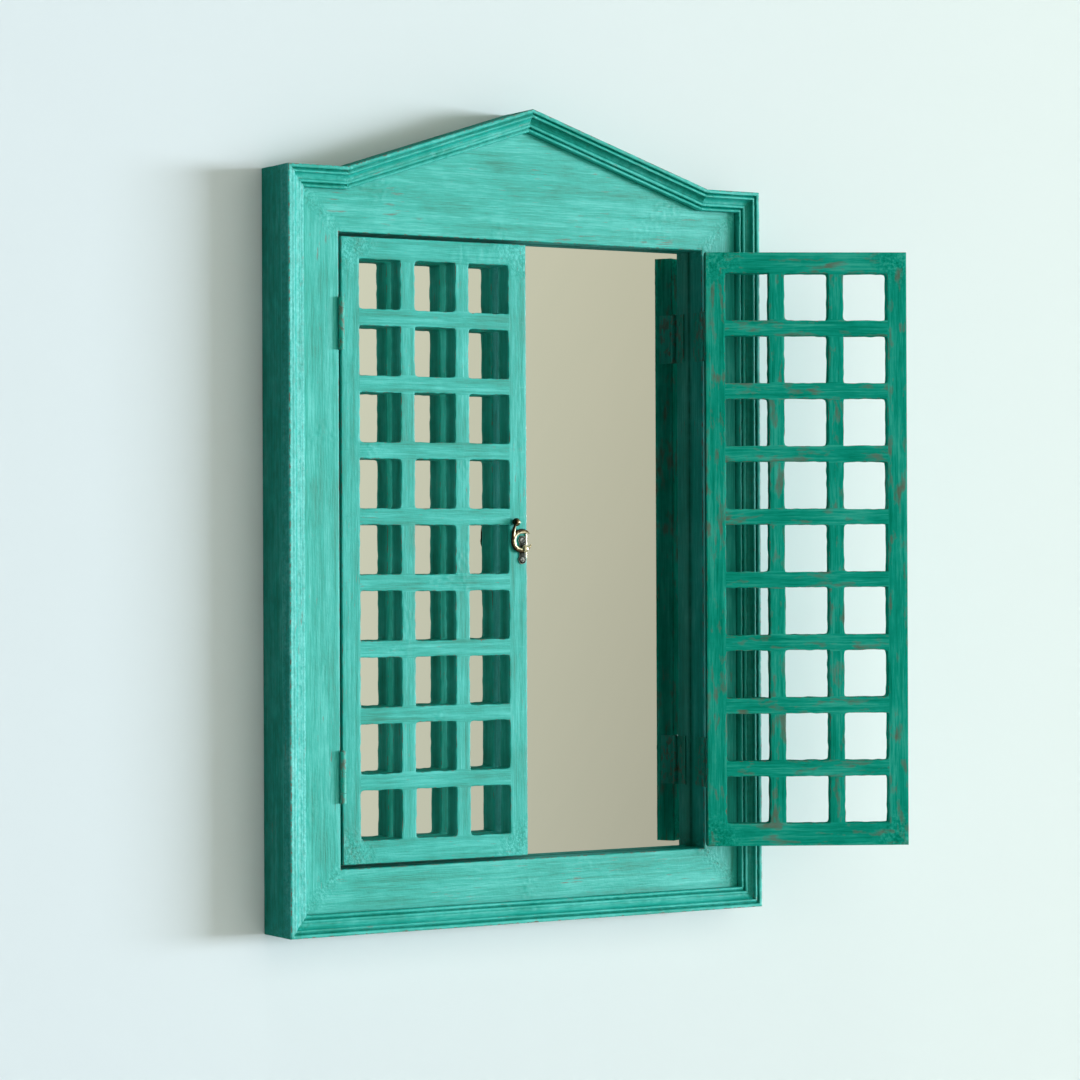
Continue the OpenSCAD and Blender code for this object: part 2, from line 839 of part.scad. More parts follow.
// wedge of a disc about the rivet, between two angles
module wedge(r, a, b) {
    m = (a + b) / 2;
    far = r / cos((b - a) / 2) + cut;
    intersection() {
        circle(r);
        polygon([[0, 0], far * [cos(a), sin(a)], far * [cos(m), sin(m)] * 2, far * [cos(b), sin(b)]]);
    }
}

// C-shaped hook on an eye, its mouth wide enough to drop over the peg, with a stem and a knob
module latch_hook() {
    stem = knob_c - stem_foot;
    color("darkkhaki") in_left_door() on_front(rivet_x, hook_y, rivet_z) difference() {
        union() {
            linear_extrude(hook_t) {
                difference() {
                    translate(hook_c) circle(hook_r);
                    translate(jaw_c) circle(jaw_r);
                    wedge(nose_reach, nose_from, nose_to);
                    wedge(2 * hook_r, mouth_from, nose_from);
                }
                circle(eye_r);
                translate(stem_foot) rotate(atan2(stem[1], stem[0]) - 90)
                    translate([-stem_w / 2, 0]) square([stem_w, norm(stem)]);
            }
            translate([knob_c[0], knob_c[1], knob_r + knob_gap - plate_t - hook_gap]) sphere(knob_r);
        }
        translate([0, 0, -cut]) cylinder(h = hook_t + 2 * cut, r = rivet_r + hook_clear);
    }
}

// keeper on the meeting stile of the right door, drawn in the mirrored door

module right_meeting_stile_timber() {
    meeting_stile() {
        plate_screw_places(-keeper_x) screw_hole(latch_screw);
        stud_hole(-peg_x, peg_z, peg_r);
    }
}

module right_hinge_stile() {
    color("lightseagreen") in_right_door() hinge_stile();
}

module right_meeting_stile() {
    color("lightseagreen") in_right_door() right_meeting_stile_timber();
}

module right_top_rail() {
    color("mediumturquoise") in_right_door() door_top_rail();
}

module right_bottom_rail() {
    color("mediumturquoise") in_right_door() door_bottom_rail();
}

module right_upright_1() {
    color("lightseagreen") in_right_door() upright(0);
}

module right_upright_2() {
    color("lightseagreen") in_right_door() upright(1);
}

module right_cross_bars() {
    color("mediumturquoise") in_right_door() cross_bars();
}

module right_lower_door_leaf() {
    color("mediumseagreen") in_right_door() door_leaf(hinge_z[0]);
}

module right_upper_door_leaf() {
    color("mediumseagreen") in_right_door() door_leaf(hinge_z[1]);
}

module right_door_leaf_screws() {
    color("gray") in_right_door() for (z = hinge_z) at_pin(z) leaf_screw_places(1) screw(hinge_screw);
}

module keeper_plate() {
    color("olive") in_right_door() difference() {
        union() {
            on_front(-keeper_x, -body_t, latch_z) linear_extrude(plate_t) lobed_plate();
            on_front(-peg_x, -body_t, peg_z) cylinder(h = plate_t, r = peg_boss_r);
        }
        on_front(-peg_x, -body_t + cut, peg_z)
            cylinder(h = plate_t + 2 * cut, r = peg_r + fixed_clear);
        plate_screw_places(-keeper_x) screw_hole(latch_screw);
    }
}

// peg riveted in the keeper plate, with a flat head that keeps the hook on
module keeper_peg() {
    top = plate_t + 2 * hook_gap + hook_t;
    color("olive") in_right_door() on_front(-peg_x, -body_t, peg_z) {
        translate([0, 0, -stud_bite]) cylinder(h = stud_bite + top, r = peg_r);
        translate([0, 0, top])
            cylinder(h = peg_head_h, r1 = peg_head_r, r2 = peg_head_r - peg_head_bevel);
    }
}

module keeper_screws() {
    color("darkolivegreen") in_right_door() plate_screw_places(-keeper_x) screw(latch_screw);
}

left_stile();
right_stile();
bottom_rail();
pediment_head();
moulding(0);  // bottom_moulding
moulding(1);  // right_moulding
moulding(2);  // right_shoulder_moulding
moulding(3);  // right_rake_moulding
moulding(4);  // left_rake_moulding
moulding(5);  // left_shoulder_moulding
moulding(6);  // left_moulding
mitre_nails();
mirror_glass();
backing_board();
backing_pins();
left_hanger();
right_hanger();
hanger_screws();
left_lower_frame_leaf();
left_upper_frame_leaf();
right_lower_frame_leaf();
right_upper_frame_leaf();
left_lower_hinge_pin();
left_upper_hinge_pin();
right_lower_hinge_pin();
right_upper_hinge_pin();
frame_leaf_screws();
left_hinge_stile();
left_meeting_stile();
left_top_rail();
left_bottom_rail();
left_upright_1();
left_upright_2();
left_cross_bars();
left_lower_door_leaf();
left_upper_door_leaf();
left_door_leaf_screws();
latch_plate();
latch_screws();
latch_rivet();
latch_hook();
right_hinge_stile();
right_meeting_stile();
right_top_rail();
right_bottom_rail();
right_upright_1();
right_upright_2();
right_cross_bars();
right_lower_door_leaf();
right_upper_door_leaf();
right_door_leaf_screws();
keeper_plate();
keeper_peg();
keeper_screws();
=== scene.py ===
import math

import bmesh
import bpy
import numpy as np
from mathutils import Matrix, Vector


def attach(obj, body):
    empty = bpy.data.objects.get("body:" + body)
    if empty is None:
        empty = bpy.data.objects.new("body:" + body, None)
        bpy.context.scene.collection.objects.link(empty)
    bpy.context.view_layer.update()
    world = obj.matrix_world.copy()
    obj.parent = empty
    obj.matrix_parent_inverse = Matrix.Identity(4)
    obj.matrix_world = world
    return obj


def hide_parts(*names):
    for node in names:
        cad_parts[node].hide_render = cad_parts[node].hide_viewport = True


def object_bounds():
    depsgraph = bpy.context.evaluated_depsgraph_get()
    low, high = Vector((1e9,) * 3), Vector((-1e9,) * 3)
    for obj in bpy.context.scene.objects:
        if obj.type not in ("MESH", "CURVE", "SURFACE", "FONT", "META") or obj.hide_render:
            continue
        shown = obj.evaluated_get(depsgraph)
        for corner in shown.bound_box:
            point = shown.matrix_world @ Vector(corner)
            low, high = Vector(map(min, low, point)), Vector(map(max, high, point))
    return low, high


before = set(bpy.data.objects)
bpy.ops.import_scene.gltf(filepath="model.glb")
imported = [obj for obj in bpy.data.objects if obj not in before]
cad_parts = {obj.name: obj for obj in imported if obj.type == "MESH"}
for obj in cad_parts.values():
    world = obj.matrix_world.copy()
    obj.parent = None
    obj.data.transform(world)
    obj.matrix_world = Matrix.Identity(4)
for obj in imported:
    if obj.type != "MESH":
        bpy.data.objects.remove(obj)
cad_low, cad_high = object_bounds()
scene = bpy.context.scene

# The view of the photograph, made first: the camera stands to the left of the mirror, a little
# above its middle, and looks at it through a long lens. Places are in metres, angles in degrees.
camera = bpy.data.objects.new("camera", bpy.data.cameras.new("camera"))
scene.collection.objects.link(camera)
scene.camera = camera
camera.data.sensor_width = 36
camera.data.lens = 113.48
yaw, pitch, roll = (math.radians(a) for a in (31.72, 0.23, -0.23))
ahead = Vector((math.sin(yaw) * math.cos(pitch), math.cos(yaw) * math.cos(pitch), math.sin(pitch)))
level = Vector((math.cos(yaw), -math.sin(yaw), 0))
upright = level.cross(ahead)
right = math.cos(roll) * level + math.sin(roll) * upright
above = math.cos(roll) * upright - math.sin(roll) * level
camera.matrix_world = Matrix.LocRotScale(
    Vector((-1.33917, -2.21602, -0.22365)),
    Matrix((right, above, -ahead)).transposed().to_quaternion(),
    None,
)

# The surroundings: a pale wall that the mirror hangs on, open behind the frame, a pale floor far
# below, a key light from the right, softer ones from the front and above, a faint one for what the
# mirror throws back at the left door, and lamps behind the wall for the views from there.
hang_height = 500  # mm from the frame's foot up to the middles of the hanging holes


def place(points):
    """Points in mm, with the height counted from the frame's foot, as places in metres."""
    points = np.asarray(points, float)
    return (points - [0, 0, hang_height]) * 0.001


def columns(*parts):
    """Table from its columns. A single value fills its column."""
    return np.stack(np.broadcast_arrays(*parts), axis=-1).astype(float)


def at_depth(plan, depth):
    """Points (across, height) as points in space at this depth, in mm."""
    return columns(plan[..., 0], depth, plan[..., 1])


class Nodes:
    """Shader nodes of one material or world, with short calls for the kinds used most."""

    def __init__(self, tree):
        self.tree = tree
        tree.nodes.clear()

    def put(self, kind, feeds=None, **options):
        """Adds a node, sets its options, and joins or sets its inputs."""
        node = self.tree.nodes.new("ShaderNode" + kind)
        for key, value in options.items():
            setattr(node, key, value)
        for key, value in (feeds or {}).items():
            if isinstance(value, bpy.types.NodeSocket):
                self.tree.links.new(value, node.inputs[key])
            else:
                node.inputs[key].default_value = value
        return node

    def spot(self):
        """Place on the object, in metres."""
        return self.put("TexCoord").outputs["Object"]

    def mark(self, kind):
        """Mark that the mesh carries at each point."""
        return self.put("Attribute", attribute_name=kind).outputs["Fac"]

    def noise(self, spot, scale, detail, rough=0.5):
        """Cloudy chance value from 0 to 1."""
        return self.put("TexNoise", {"Vector": spot, "Scale": scale, "Detail": detail,
                                     "Roughness": rough}).outputs[0]

    def math(self, operation, *feeds):
        """Result of one operation on numbers."""
        return self.put("Math", dict(enumerate(feeds)), operation=operation).outputs[0]

    def weighed(self, *parts):
        """Sum of values, each times its weight."""
        total = 0.0
        for value, weight in parts:
            total = self.math("MULTIPLY_ADD", value, weight, total)
        return total

    def span(self, value, low, high, bottom=0.0, top=1.0):
        """Value carried from one range to another, and held within it."""
        return self.put("MapRange", {0: value, 1: low, 2: high, 3: bottom, 4: top}).outputs[0]

    def blend(self, share, first, second):
        """Number between two, by a share."""
        return self.put("Mix", {0: share, 2: first, 3: second}, data_type="FLOAT").outputs[0]

    def tint(self, share, first, second):
        """Colour between two, by a share. A colour is a socket or (red, green, blue)."""
        first, second = (colour if isinstance(colour, bpy.types.NodeSocket) else (*colour, 1)
                         for colour in (first, second))
        return self.put("Mix", {0: share, 6: first, 7: second}, data_type="RGBA").outputs[2]

    def ramp(self, value, *stops):
        """Colour at a value, between stops of (value, colour)."""
        node = self.put("ValToRGB", {0: value})
        stop = node.color_ramp.elements
        for at, _ in stops[1:-1]:
            stop.new(at)
        for k, (at, colour) in enumerate(stops):
            stop[k].position, stop[k].color = at, (*colour, 1)
        return node.outputs[0]

    def surface(self, feeds):
        """Joins a layered shader with these inputs to the output."""
        shader = self.put("BsdfPrincipled", feeds)
        self.put("OutputMaterial", {"Surface": shader.outputs[0]})


def empty_finish(name):
    """A material without nodes, and the means to fill it."""
    finish = bpy.data.materials.new(name)
    finish.use_nodes = True
    return finish, Nodes(finish.node_tree)


def one_sided(name, left_colour, right_colour):
    """Matt paint, from one shade at the left to another at the right, that is dimmer in gloss and
    that the camera sees from the front only."""
    finish, nodes = empty_finish(name)
    across = nodes.put("SeparateXYZ", {0: nodes.spot()}).outputs[0]
    colour = nodes.tint(nodes.span(across, -0.35, 0.55), left_colour, right_colour)
    ray_kind = nodes.put("LightPath").outputs
    shade = nodes.tint(nodes.math("MULTIPLY", ray_kind["Is Glossy Ray"], 0.8), colour, (0, 0, 0))
    matt = nodes.put("BsdfDiffuse", {"Color": shade}).outputs[0]
    clear = nodes.put("BsdfTransparent").outputs[0]
    behind = nodes.put("NewGeometry").outputs["Backfacing"]
    through = nodes.math("MULTIPLY", behind, ray_kind["Is Camera Ray"])
    mixed = nodes.put("MixShader", {0: through, 1: matt, 2: clear})
    nodes.put("OutputMaterial", {"Surface": mixed.outputs[0]})
    return finish


def backdrop(name, inner, outer, *colours):
    """Flat ring of quads between two closed lines of points."""
    count = len(outer)
    points = np.concatenate([inner, outer])
    turn = (np.arange(count) + 1) % count
    quads = np.stack([np.arange(count), turn, turn + count, np.arange(count) + count], axis=1)
    mesh = bpy.data.meshes.new(name)
    mesh.from_pydata(place(points).tolist(), [], quads.tolist())
    sheet = bpy.data.objects.new(name, mesh)
    scene.collection.objects.link(sheet)
    mesh.materials.append(one_sided(name + "_paint", *colours))
    return sheet


frame_outline = np.array([
    [-207, 0], [207, 0], [207, 558], [158.4, 558], [0, 610], [-158.4, 558], [-207, 558],
], float)
wall_middle = np.array([0, 280.0])
backdrop_reach = 9000
lap = 1.2  # mm by which the frame covers the edge of the opening behind it
away = frame_outline - wall_middle
furthest = np.abs(away).max(axis=1, keepdims=True)
behind_frame = 0.05  # mm from the frame's back to the wall
backdrop("wall", at_depth(wall_middle + away * (1 - lap / furthest), behind_frame)[::-1],
         at_depth(wall_middle + away / furthest * backdrop_reach, behind_frame)[::-1],
         (0.780, 0.810, 0.850), (0.790, 0.815, 0.805))
floor_height = -900
corners = np.array([[-1, -1], [1, -1], [1, 1], [-1, 1]]) * backdrop_reach
pinhole = 1e-5  # share of the floor's width, since a backdrop is a ring
on_floor = lambda plan: columns(*plan.T, floor_height)
ground = backdrop("floor", on_floor(corners * pinhole)[::-1], on_floor(corners)[::-1],
                  (0.74, 0.73, 0.70), (0.74, 0.73, 0.70))
ground.visible_glossy = False


def lamp(name, power, colour, towards, distance, wide, high, glossy=False, at=(0, 0, -0.2)):
    """Rectangular lamp that shines along the direction given, at that distance before a place."""
    light = bpy.data.lights.new(name, "AREA")
    light.energy = power
    light.color = colour
    light.shape = "RECTANGLE"
    light.size = wide
    light.size_y = high
    bulb = bpy.data.objects.new(name, light)
    scene.collection.objects.link(bulb)
    aim = Vector(towards).normalized()
    bulb.location = Vector(at) - aim * distance
    bulb.rotation_mode = "QUATERNION"
    bulb.rotation_quaternion = aim.to_track_quat("-Z", "Y")
    bulb.visible_camera = False
    bulb.visible_glossy = glossy


lamp("key", 3800, (0.87, 1.0, 1.08), (-0.840, 0.542, -0.02), 20, 10.5, 3.5, glossy=True)
lamp("fill", 170, (0.93, 1.0, 0.86), (-0.16, 1, -0.12), 5, 6.5, 6)
lamp("overhead", 38, (0.92, 1.0, 0.92), (0.15, 0.05, -1), 4, 2.5, 0.3)
lamp("thrown_back", 0.06, (0.70, 1.0, 0.84), (0, -1, 0), -0.0139, 0.14, 0.44, at=(-0.088, 0, -0.22))
lamp("rear_left", 60, (1, 0.99, 0.96), (0.6, -1, -0.35), 4, 2, 2)
lamp("rear_right", 60, (0.96, 0.98, 1), (-0.6, -1, -0.2), 4, 2, 2)

# What the mirror and the gloss show, by direction: far to the right dim low down and warmer above,
# paler towards straight ahead, dark to the left and after a second reflection.
world = bpy.data.worlds.new("room")
scene.world = world
world.use_nodes = True
sky = Nodes(world.node_tree)
ray = sky.put("LightPath").outputs
facing = sky.put("SeparateXYZ", {0: sky.put("TexCoord").outputs["Generated"]}).outputs
tint = sky.tint(sky.span(facing[2], -0.16, 0.16), (0.22, 0.20, 0.16), (0.560, 0.515, 0.372))
tint = sky.tint(sky.span(facing[0], 0.62, 0.40), tint, (0.82, 0.83, 0.66))
tint = sky.tint(sky.span(facing[0], 0.0, -0.45), tint, (0.045, 0.060, 0.055))
tint = sky.tint(sky.math("GREATER_THAN", ray["Ray Depth"], 2.5), tint, (0.03, 0.035, 0.03))
glow = [sky.put("Background", {"Color": colour}).outputs[0] for colour in (
    (0.012, 0.013, 0.012, 1), tint, (0.74, 0.80, 0.80, 1))]
shown = sky.put("MixShader", {0: ray["Is Glossy Ray"], 1: glow[0], 2: glow[1]}).outputs[0]
shown = sky.put("MixShader", {0: ray["Is Camera Ray"], 1: shown, 2: glow[2]}).outputs[0]
sky.put("OutputWorld", {"Surface": shown})
scene.view_settings.view_transform = "Standard"

# The frame: four softwood timbers, mitred at the corners, glued and nailed, the head cut to a low
# pediment. A rebate at the back holds the glass. They are brushed with turquoise paint, which is
# rubbed through along the arrises, and are bare at the back, where the brush lapped round. Their
# outer sides and the reveals towards the glass are painted darker, a painted shade.


def unevenness(points, size, seed):
    """Smooth chance height from 0 to 1. Space is cut into boxes of this size in mm, every corner of
    a box has a number of its own, and a point takes the mean of its box's eight corners, weighted
    along each axis by 3 t^2 - 2 t^3 of its place t in the box."""
    spot = points / np.asarray(size, float) + 4096
    box = np.floor(spot).astype(np.int64)
    t = spot - box
    t = t * t * (3 - 2 * t)
    height = 0
    for corner in np.ndindex(2, 2, 2):
        key = ((box + corner) * [73856093, 19349663, 83492791]).sum(axis=-1) + seed * 7919
        key = ((key ^ (key >> 13)) & 0xffffffff) * 1274126177 & 0x7fffffffffff
        chance = ((key ^ (key >> 17)) & 0xffff) / 65535
        height = height + chance * np.where(corner, t, 1 - t).prod(axis=-1)
    return height


def daubs(points, seed=0):
    """Height of the thick lumps that the brush left, in mm: small lumps where a chance height of
    wide patches is large, nothing between the patches."""
    patch = np.clip(4.5 * unevenness(points, (26, 60, 26), seed + 1) - 3.15, 0, 1)
    lump = np.clip(unevenness(points, (2.3, 9, 2.3), seed + 2) - 0.45, 0, 1) * 1.6
    fine = np.clip(unevenness(points, (1.7, 9, 1.7), seed + 3) - 0.5, 0, 1) * 0.7
    return patch * (lump + fine)


def skin(name, patches, finish, body, slot, *nodes):
    """One closed mesh from grids of points in mm: neighbours in a grid are joined by quads, its
    first and last rows are filled where the ends say so, and points in the same place are made
    one. Each patch is (points, marks, ends, hole): the marks of a point say how much it is an
    arris (below 0 it marks hollows and faces in painted shade; on the latch it also marks painted
    lit and shaded sides), how bare it is, and how near to a joint; a hole is the block of quads
    (first row, last row, first column, last column) that is left out."""
    points, marks, faces, count = [], [], [], 0
    for grid, mark, ends, hole in patches:
        rows, cols = grid.shape[:2]
        index = np.arange(rows * cols).reshape(rows, cols) + count
        quads = np.stack([index[:-1, :-1], index[:-1, 1:], index[1:, 1:], index[1:, :-1]], axis=-1)
        kept = np.ones((rows - 1, cols - 1), bool)
        if hole:
            kept[hole[0]:hole[1], hole[2]:hole[3]] = False
        faces += quads[kept].tolist()
        faces += [index[row, :-1].tolist() for row, end in ((0, "first"), (-1, "last")) if end in ends]
        points.append(grid.reshape(-1, 3))
        marks.append(np.broadcast_to(mark, (rows, cols, 3)).reshape(-1, 3))
        count += rows * cols
    marks = np.concatenate(marks)
    mesh = bpy.data.meshes.new(name)
    mesh.from_pydata(place(np.concatenate(points)).tolist(), [], faces)
    for k, kind in enumerate(("arris", "raw", "joint")):
        mesh.attributes.new(kind, "FLOAT", "POINT").data.foreach_set(
            "value", marks[:, k].astype(np.float32))
    shell = bmesh.new()
    shell.from_mesh(mesh)
    bmesh.ops.remove_doubles(shell, verts=shell.verts, dist=2e-6)
    bmesh.ops.recalc_face_normals(shell, faces=shell.faces)
    shell.to_mesh(mesh)
    shell.free()
    mesh.shade_smooth()
    mesh.set_sharp_from_angle(angle=math.radians(40))
    mesh.materials.append(finish)
    piece = bpy.data.objects.new(name, mesh)
    scene.collection.objects.link(piece)
    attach(piece, body)
    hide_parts(*nodes)


def worn_paint(name, along=(1, 1, 1), turn=(0, 0, 0), origin=(0, 0, 0), crossing=None,
               tone=(1, 1, 1), rubbed=0.69, softly=0.08, wear=(1.8, 13), shine=0.50,
               even_shine=False):
    """Brushed turquoise over a red-brown ground. The strokes are noise drawn out in the direction
    of the grain, and cross at the joints. Paint is missing where noise and the arris mark together
    pass a limit, and raw wood shows where the brush didn't reach. Where the arris mark is below 0
    the paint is tinted dark green and loses its shine unless that is even all over: dirt in the
    hollows, and a painted shade on outer sides, deep reveals, cell walls and shaded coves."""
    finish, nodes = empty_finish(name)
    place_on = nodes.spot()
    across_grain = crossing and crossing(nodes, place_on)

    def noise(size, detail=2.0, rough=0.55, shift=0.0):
        spread = nodes.put("Mapping", {
            "Vector": place_on, "Location": (origin[0] + shift, origin[1], origin[2]),
            "Rotation": turn, "Scale": size}, vector_type="TEXTURE")
        return nodes.noise(spread.outputs[0], 1.0, detail, rough)

    def sized(fine, long, way=along):
        return tuple(0.001 * (long if a else fine) for a in way)

    def strokes(fine, long, **more):
        if not crossing:
            return noise(sized(fine, long), **more)
        upright_noise = noise(sized(fine, long, (0, 0, 1)), **more)
        return nodes.blend(across_grain, upright_noise, noise(sized(fine, long, (1, 0, 0)), **more))

    joint, arris, raw = (nodes.mark(kind) for kind in ("joint", "arris", "raw"))
    daub = noise((0.0022, 0.004, 0.0022), detail=3.0, rough=0.6, shift=2.3)
    wide = nodes.blend(joint, strokes(7, 70), noise((0.009, 0.009, 0.009), shift=0.4))
    long = nodes.blend(joint, strokes(1.9, 120, shift=5.0), daub)
    bristle = nodes.blend(joint, strokes(0.8, 15, detail=3.0, rough=0.6), daub)
    cloud = noise((0.04, 0.04, 0.04), detail=4.0, rough=0.6, shift=0.3)
    tones = nodes.weighed((wide, 0.27), (bristle, 0.28), (long, 0.22), (cloud, 0.23))
    paints = [(0.36, (0.000, 0.245, 0.175)), (0.50, (0.012, 0.425, 0.358)),
              (0.65, (0.110, 0.620, 0.560))]
    colour = nodes.ramp(tones, *[(at, np.multiply(tone, paint)) for at, paint in paints])

    chips = noise((0.004, 0.004, 0.009), detail=4.0, rough=0.65, shift=0.7)
    drawn = strokes(*wear, detail=3.0, rough=0.6, shift=1.1)
    edge_worn = nodes.span(nodes.weighed((arris, 0.32), (chips, 1.0)), 0.78, 0.87)
    face_worn = nodes.weighed((cloud, 0.4), (drawn, 0.7))
    face_worn = nodes.span(face_worn, rubbed, rubbed + softly, 0.0, 0.8)
    bare = nodes.math("MAXIMUM", edge_worn, face_worn)
    ground = nodes.ramp(noise((0.016, 0.016, 0.016), shift=1.9),
                        (0.40, (0.190, 0.095, 0.065)), (0.60, (0.180, 0.170, 0.140)))
    colour = nodes.tint(nodes.math("MULTIPLY", bare, 0.85), colour, ground)
    # Dark green mixed in where the arris mark is below 0: dirt in the hollows, and painted shade on
    # outer sides, deep reveals, cell walls and shaded coves.
    hollow_and_shade_share = nodes.span(arris, 0.0, -1.0)
    dirt_and_shade = nodes.math("MULTIPLY", hollow_and_shade_share, nodes.math("ADD", chips, 0.25))
    colour = nodes.tint(dirt_and_shade, colour, (0.0, 0.095, 0.058))

    fibre = noise(sized(0.7, 45), detail=4.0, rough=0.65, shift=3.1)
    wood = nodes.ramp(nodes.blend(0.4, fibre, cloud),
                      (0.36, (0.33, 0.19, 0.095)), (0.62, (0.58, 0.40, 0.235)))
    unpainted = nodes.span(nodes.weighed((raw, 1.0), (chips, 0.9)), 0.93, 0.99)
    colour = nodes.tint(unpainted, colour, wood)

    height = nodes.weighed((bristle, 0.6), (wide, 0.3), (daub, nodes.blend(joint, 0.45, 1.6)),
                           (bare, -0.25))
    height = nodes.blend(unpainted, height, nodes.math("MULTIPLY", fibre, 0.5))
    relief = nodes.put("Bump", {"Height": height, "Strength": 0.5, "Distance": 0.00045}).outputs[0]
    gloss = nodes.span(nodes.weighed((cloud, 1.0), (bare, 0.5)), 0.3, 1.1, 0.42, 0.62)
    gloss = nodes.blend(unpainted, gloss, nodes.math("ADD", fibre, 0.3))
    nodes.surface({"Base Color": colour, "Roughness": gloss, "Normal": relief,
                   "Specular IOR Level": shine if even_shine else nodes.blend(hollow_and_shade_share, shine, 0.0)})
    return finish


def member(outer, inner, across, section, grain, stroke, step=1.5, seed=0):
    """A section carried between an outer and an inner line: each point lies on the straight line
    from the outer point to the inner one of its station, at its own share of the width plus its
    own distance. outer and inner are lines of corners in mm, across is the width there. Each row
    of the section is (share, distance, depth, arris, bare). The front is raised by the brush: by
    ridges along the grain and by daubs, and by daubs alone where two members meet."""
    outer, inner, across = (np.asarray(a, float) for a in (outer, inner, across))
    marks = np.concatenate([[0], np.cumsum(np.linalg.norm(np.diff(outer, axis=0), axis=1))])
    total = marks[-1]
    near = np.array([0.02, 0.5, 1.2, 2.4])
    joint_reach, front_at = 14, -29
    runs = [np.linspace(a, b, max(2, int((b - a) / step)), endpoint=False)
            for a, b in zip(marks[:-1], marks[1:])]
    inside = np.concatenate(runs)
    inside = inside[(inside > 4) & (inside < total - 4)]
    where = np.concatenate([near, inside, total - near[::-1]])
    along = lambda line: np.array([np.interp(where, marks, part) for part in line.T]).T
    plan_out, plan_in, width = along(outer), along(inner), along(across[:, None])
    share, distance, depth, arris, bare = np.asarray(section, float).T
    end = np.minimum(where, total - where)[:, None]
    outside = (share == 0) & (depth < -1) & (depth > -body_t)
    rough_side = 0.15 * outside * unevenness(columns(where[:, None], depth, 0), (40, 2.6, 1), seed)
    shift = share + (distance + rough_side) / width
    plan = plan_out[:, None] + (plan_in - plan_out)[:, None] * shift[..., None]
    grid = at_depth(plan, depth)
    joint = np.clip(1 - end / joint_reach, 0, 1)
    ridges = unevenness(grid, np.where(grain, 34, 2.2), seed + 9) * stroke * (1 - joint)
    grid[..., 1] -= (depth < front_at) * (ridges + daubs(grid) * 0.55)
    mark = columns(arris, bare, joint)
    grid, mark = (np.concatenate([part, part[:, :1]], axis=1) for part in (grid, mark))
    return grid, mark, "first last", None


def rounded(radius):
    """Quarter of a circle round the front arris of the opening, as rows of a section: from the
    front face to the reveal."""
    angle = np.linspace(0, math.pi / 2, 5)
    return columns(1, -radius * (1 - np.sin(angle)), -body_t + radius * (1 - np.cos(angle)),
                   0.35 + 0.65 * np.sin(2 * angle), 0)


def between(first, last, count):
    """Rows of a section at even steps between two rows, without the two."""
    return np.linspace(first, last, count + 2)[1:-1]


def sunk(grid, hole, rings):
    """Patch that goes down into a hole of a grid: its rows are the border of the hole and then one
    ring for each (middle, half width, half height, radius, depth). A point on the border, placed
    at u and v from -1 to 1 along the hole's sides, goes to u times the half width and v times the
    half height, and is drawn in to the circle where that falls in a rounded corner."""
    top, bottom, left, right = hole
    rows = np.concatenate([np.full(right - left, top), np.arange(top, bottom),
                           np.full(right - left, bottom), np.arange(bottom, top, -1), [top]])
    cols = np.concatenate([np.arange(left, right), np.full(bottom - top, right),
                           np.arange(right, left, -1), np.full(bottom - top, left), [left]])
    border = grid[rows, cols]
    unit = columns(2 * (cols - left) / (right - left) - 1, 2 * (rows - top) / (bottom - top) - 1)
    unit *= np.sign(grid[bottom, right] - grid[top, left])[[0, 2]]
    lines = [border]
    for middle, half_w, half_h, radius, depth in rings:
        half = np.array([half_w, half_h])
        over = np.abs(unit) * half - (half - radius)
        corner = (over > 0).all(axis=1, keepdims=True)
        reach = np.maximum(np.linalg.norm(over, axis=1, keepdims=True), 1e-9)
        arc = np.sign(unit) * (half - radius + over / reach * radius)
        lines.append(at_depth(np.where(corner, arc, unit * half) + middle, depth))
    return np.array(lines), np.array([0.0, 1.0, 0.0]), "last", None


body_t, timber_w, head_h, head_peak = 31.0, 47, 46.5, 98.5
moulding_w = 15.8
arris_r = 0.9
rebate_w, rebate_at = 6.0, -13.5


def timber_section(front_rows):
    """Rows round one timber: outer side, front, inner arris, reveal, rebate and bare back."""
    front = [[0, moulding_w - 1, -body_t, 0, 0], [1, -2.0, -body_t, 0.1, 0]]
    # The outer side is marked below 0, so its paint is darker: a painted shade.
    side = [[0, 0, -0.8, -0.6, 0], [0, 0, -body_t + 0.8, -0.75, 0]]
    back = [[1, -rebate_w - 0.4, 0, 0, 0.8], [0, 0.9, 0, 0.4, 0.3]]
    return np.concatenate([
        [[0, 0.2, -0.2, 0.9, 0.1], side[0]], between(*side, 13), side[1:],
        [[0, 0, -body_t + 0.3, 0.5, 0]],
        [[0, 0, -body_t, 0, 0]], front[:1], between(*front, front_rows), front[1:],
        rounded(arris_r),
        # Towards the glass the reveal is marked below 0, so its paint is darker: a painted shade.
        [[1, 0, -27.5, 0, 0], [1, 0, -24, 0, 0], [1, 0, -20, 0, 0], [1, 0, -17, -0.2, 0],
         [1, 0, -14.4, -0.8, 0], [1, -0.05, rebate_at, -1, 0], [1, -0.5, rebate_at, 0, 0.5],
         [1, -rebate_w, rebate_at, 0, 1], [1, -rebate_w, -7, 0, 1], [1, -rebate_w, -0.4, 0.2, 1]],
        back[:1], between(*back, 14), [[0, 3.0, 0, 0, 0.55]], back[1:],
    ])


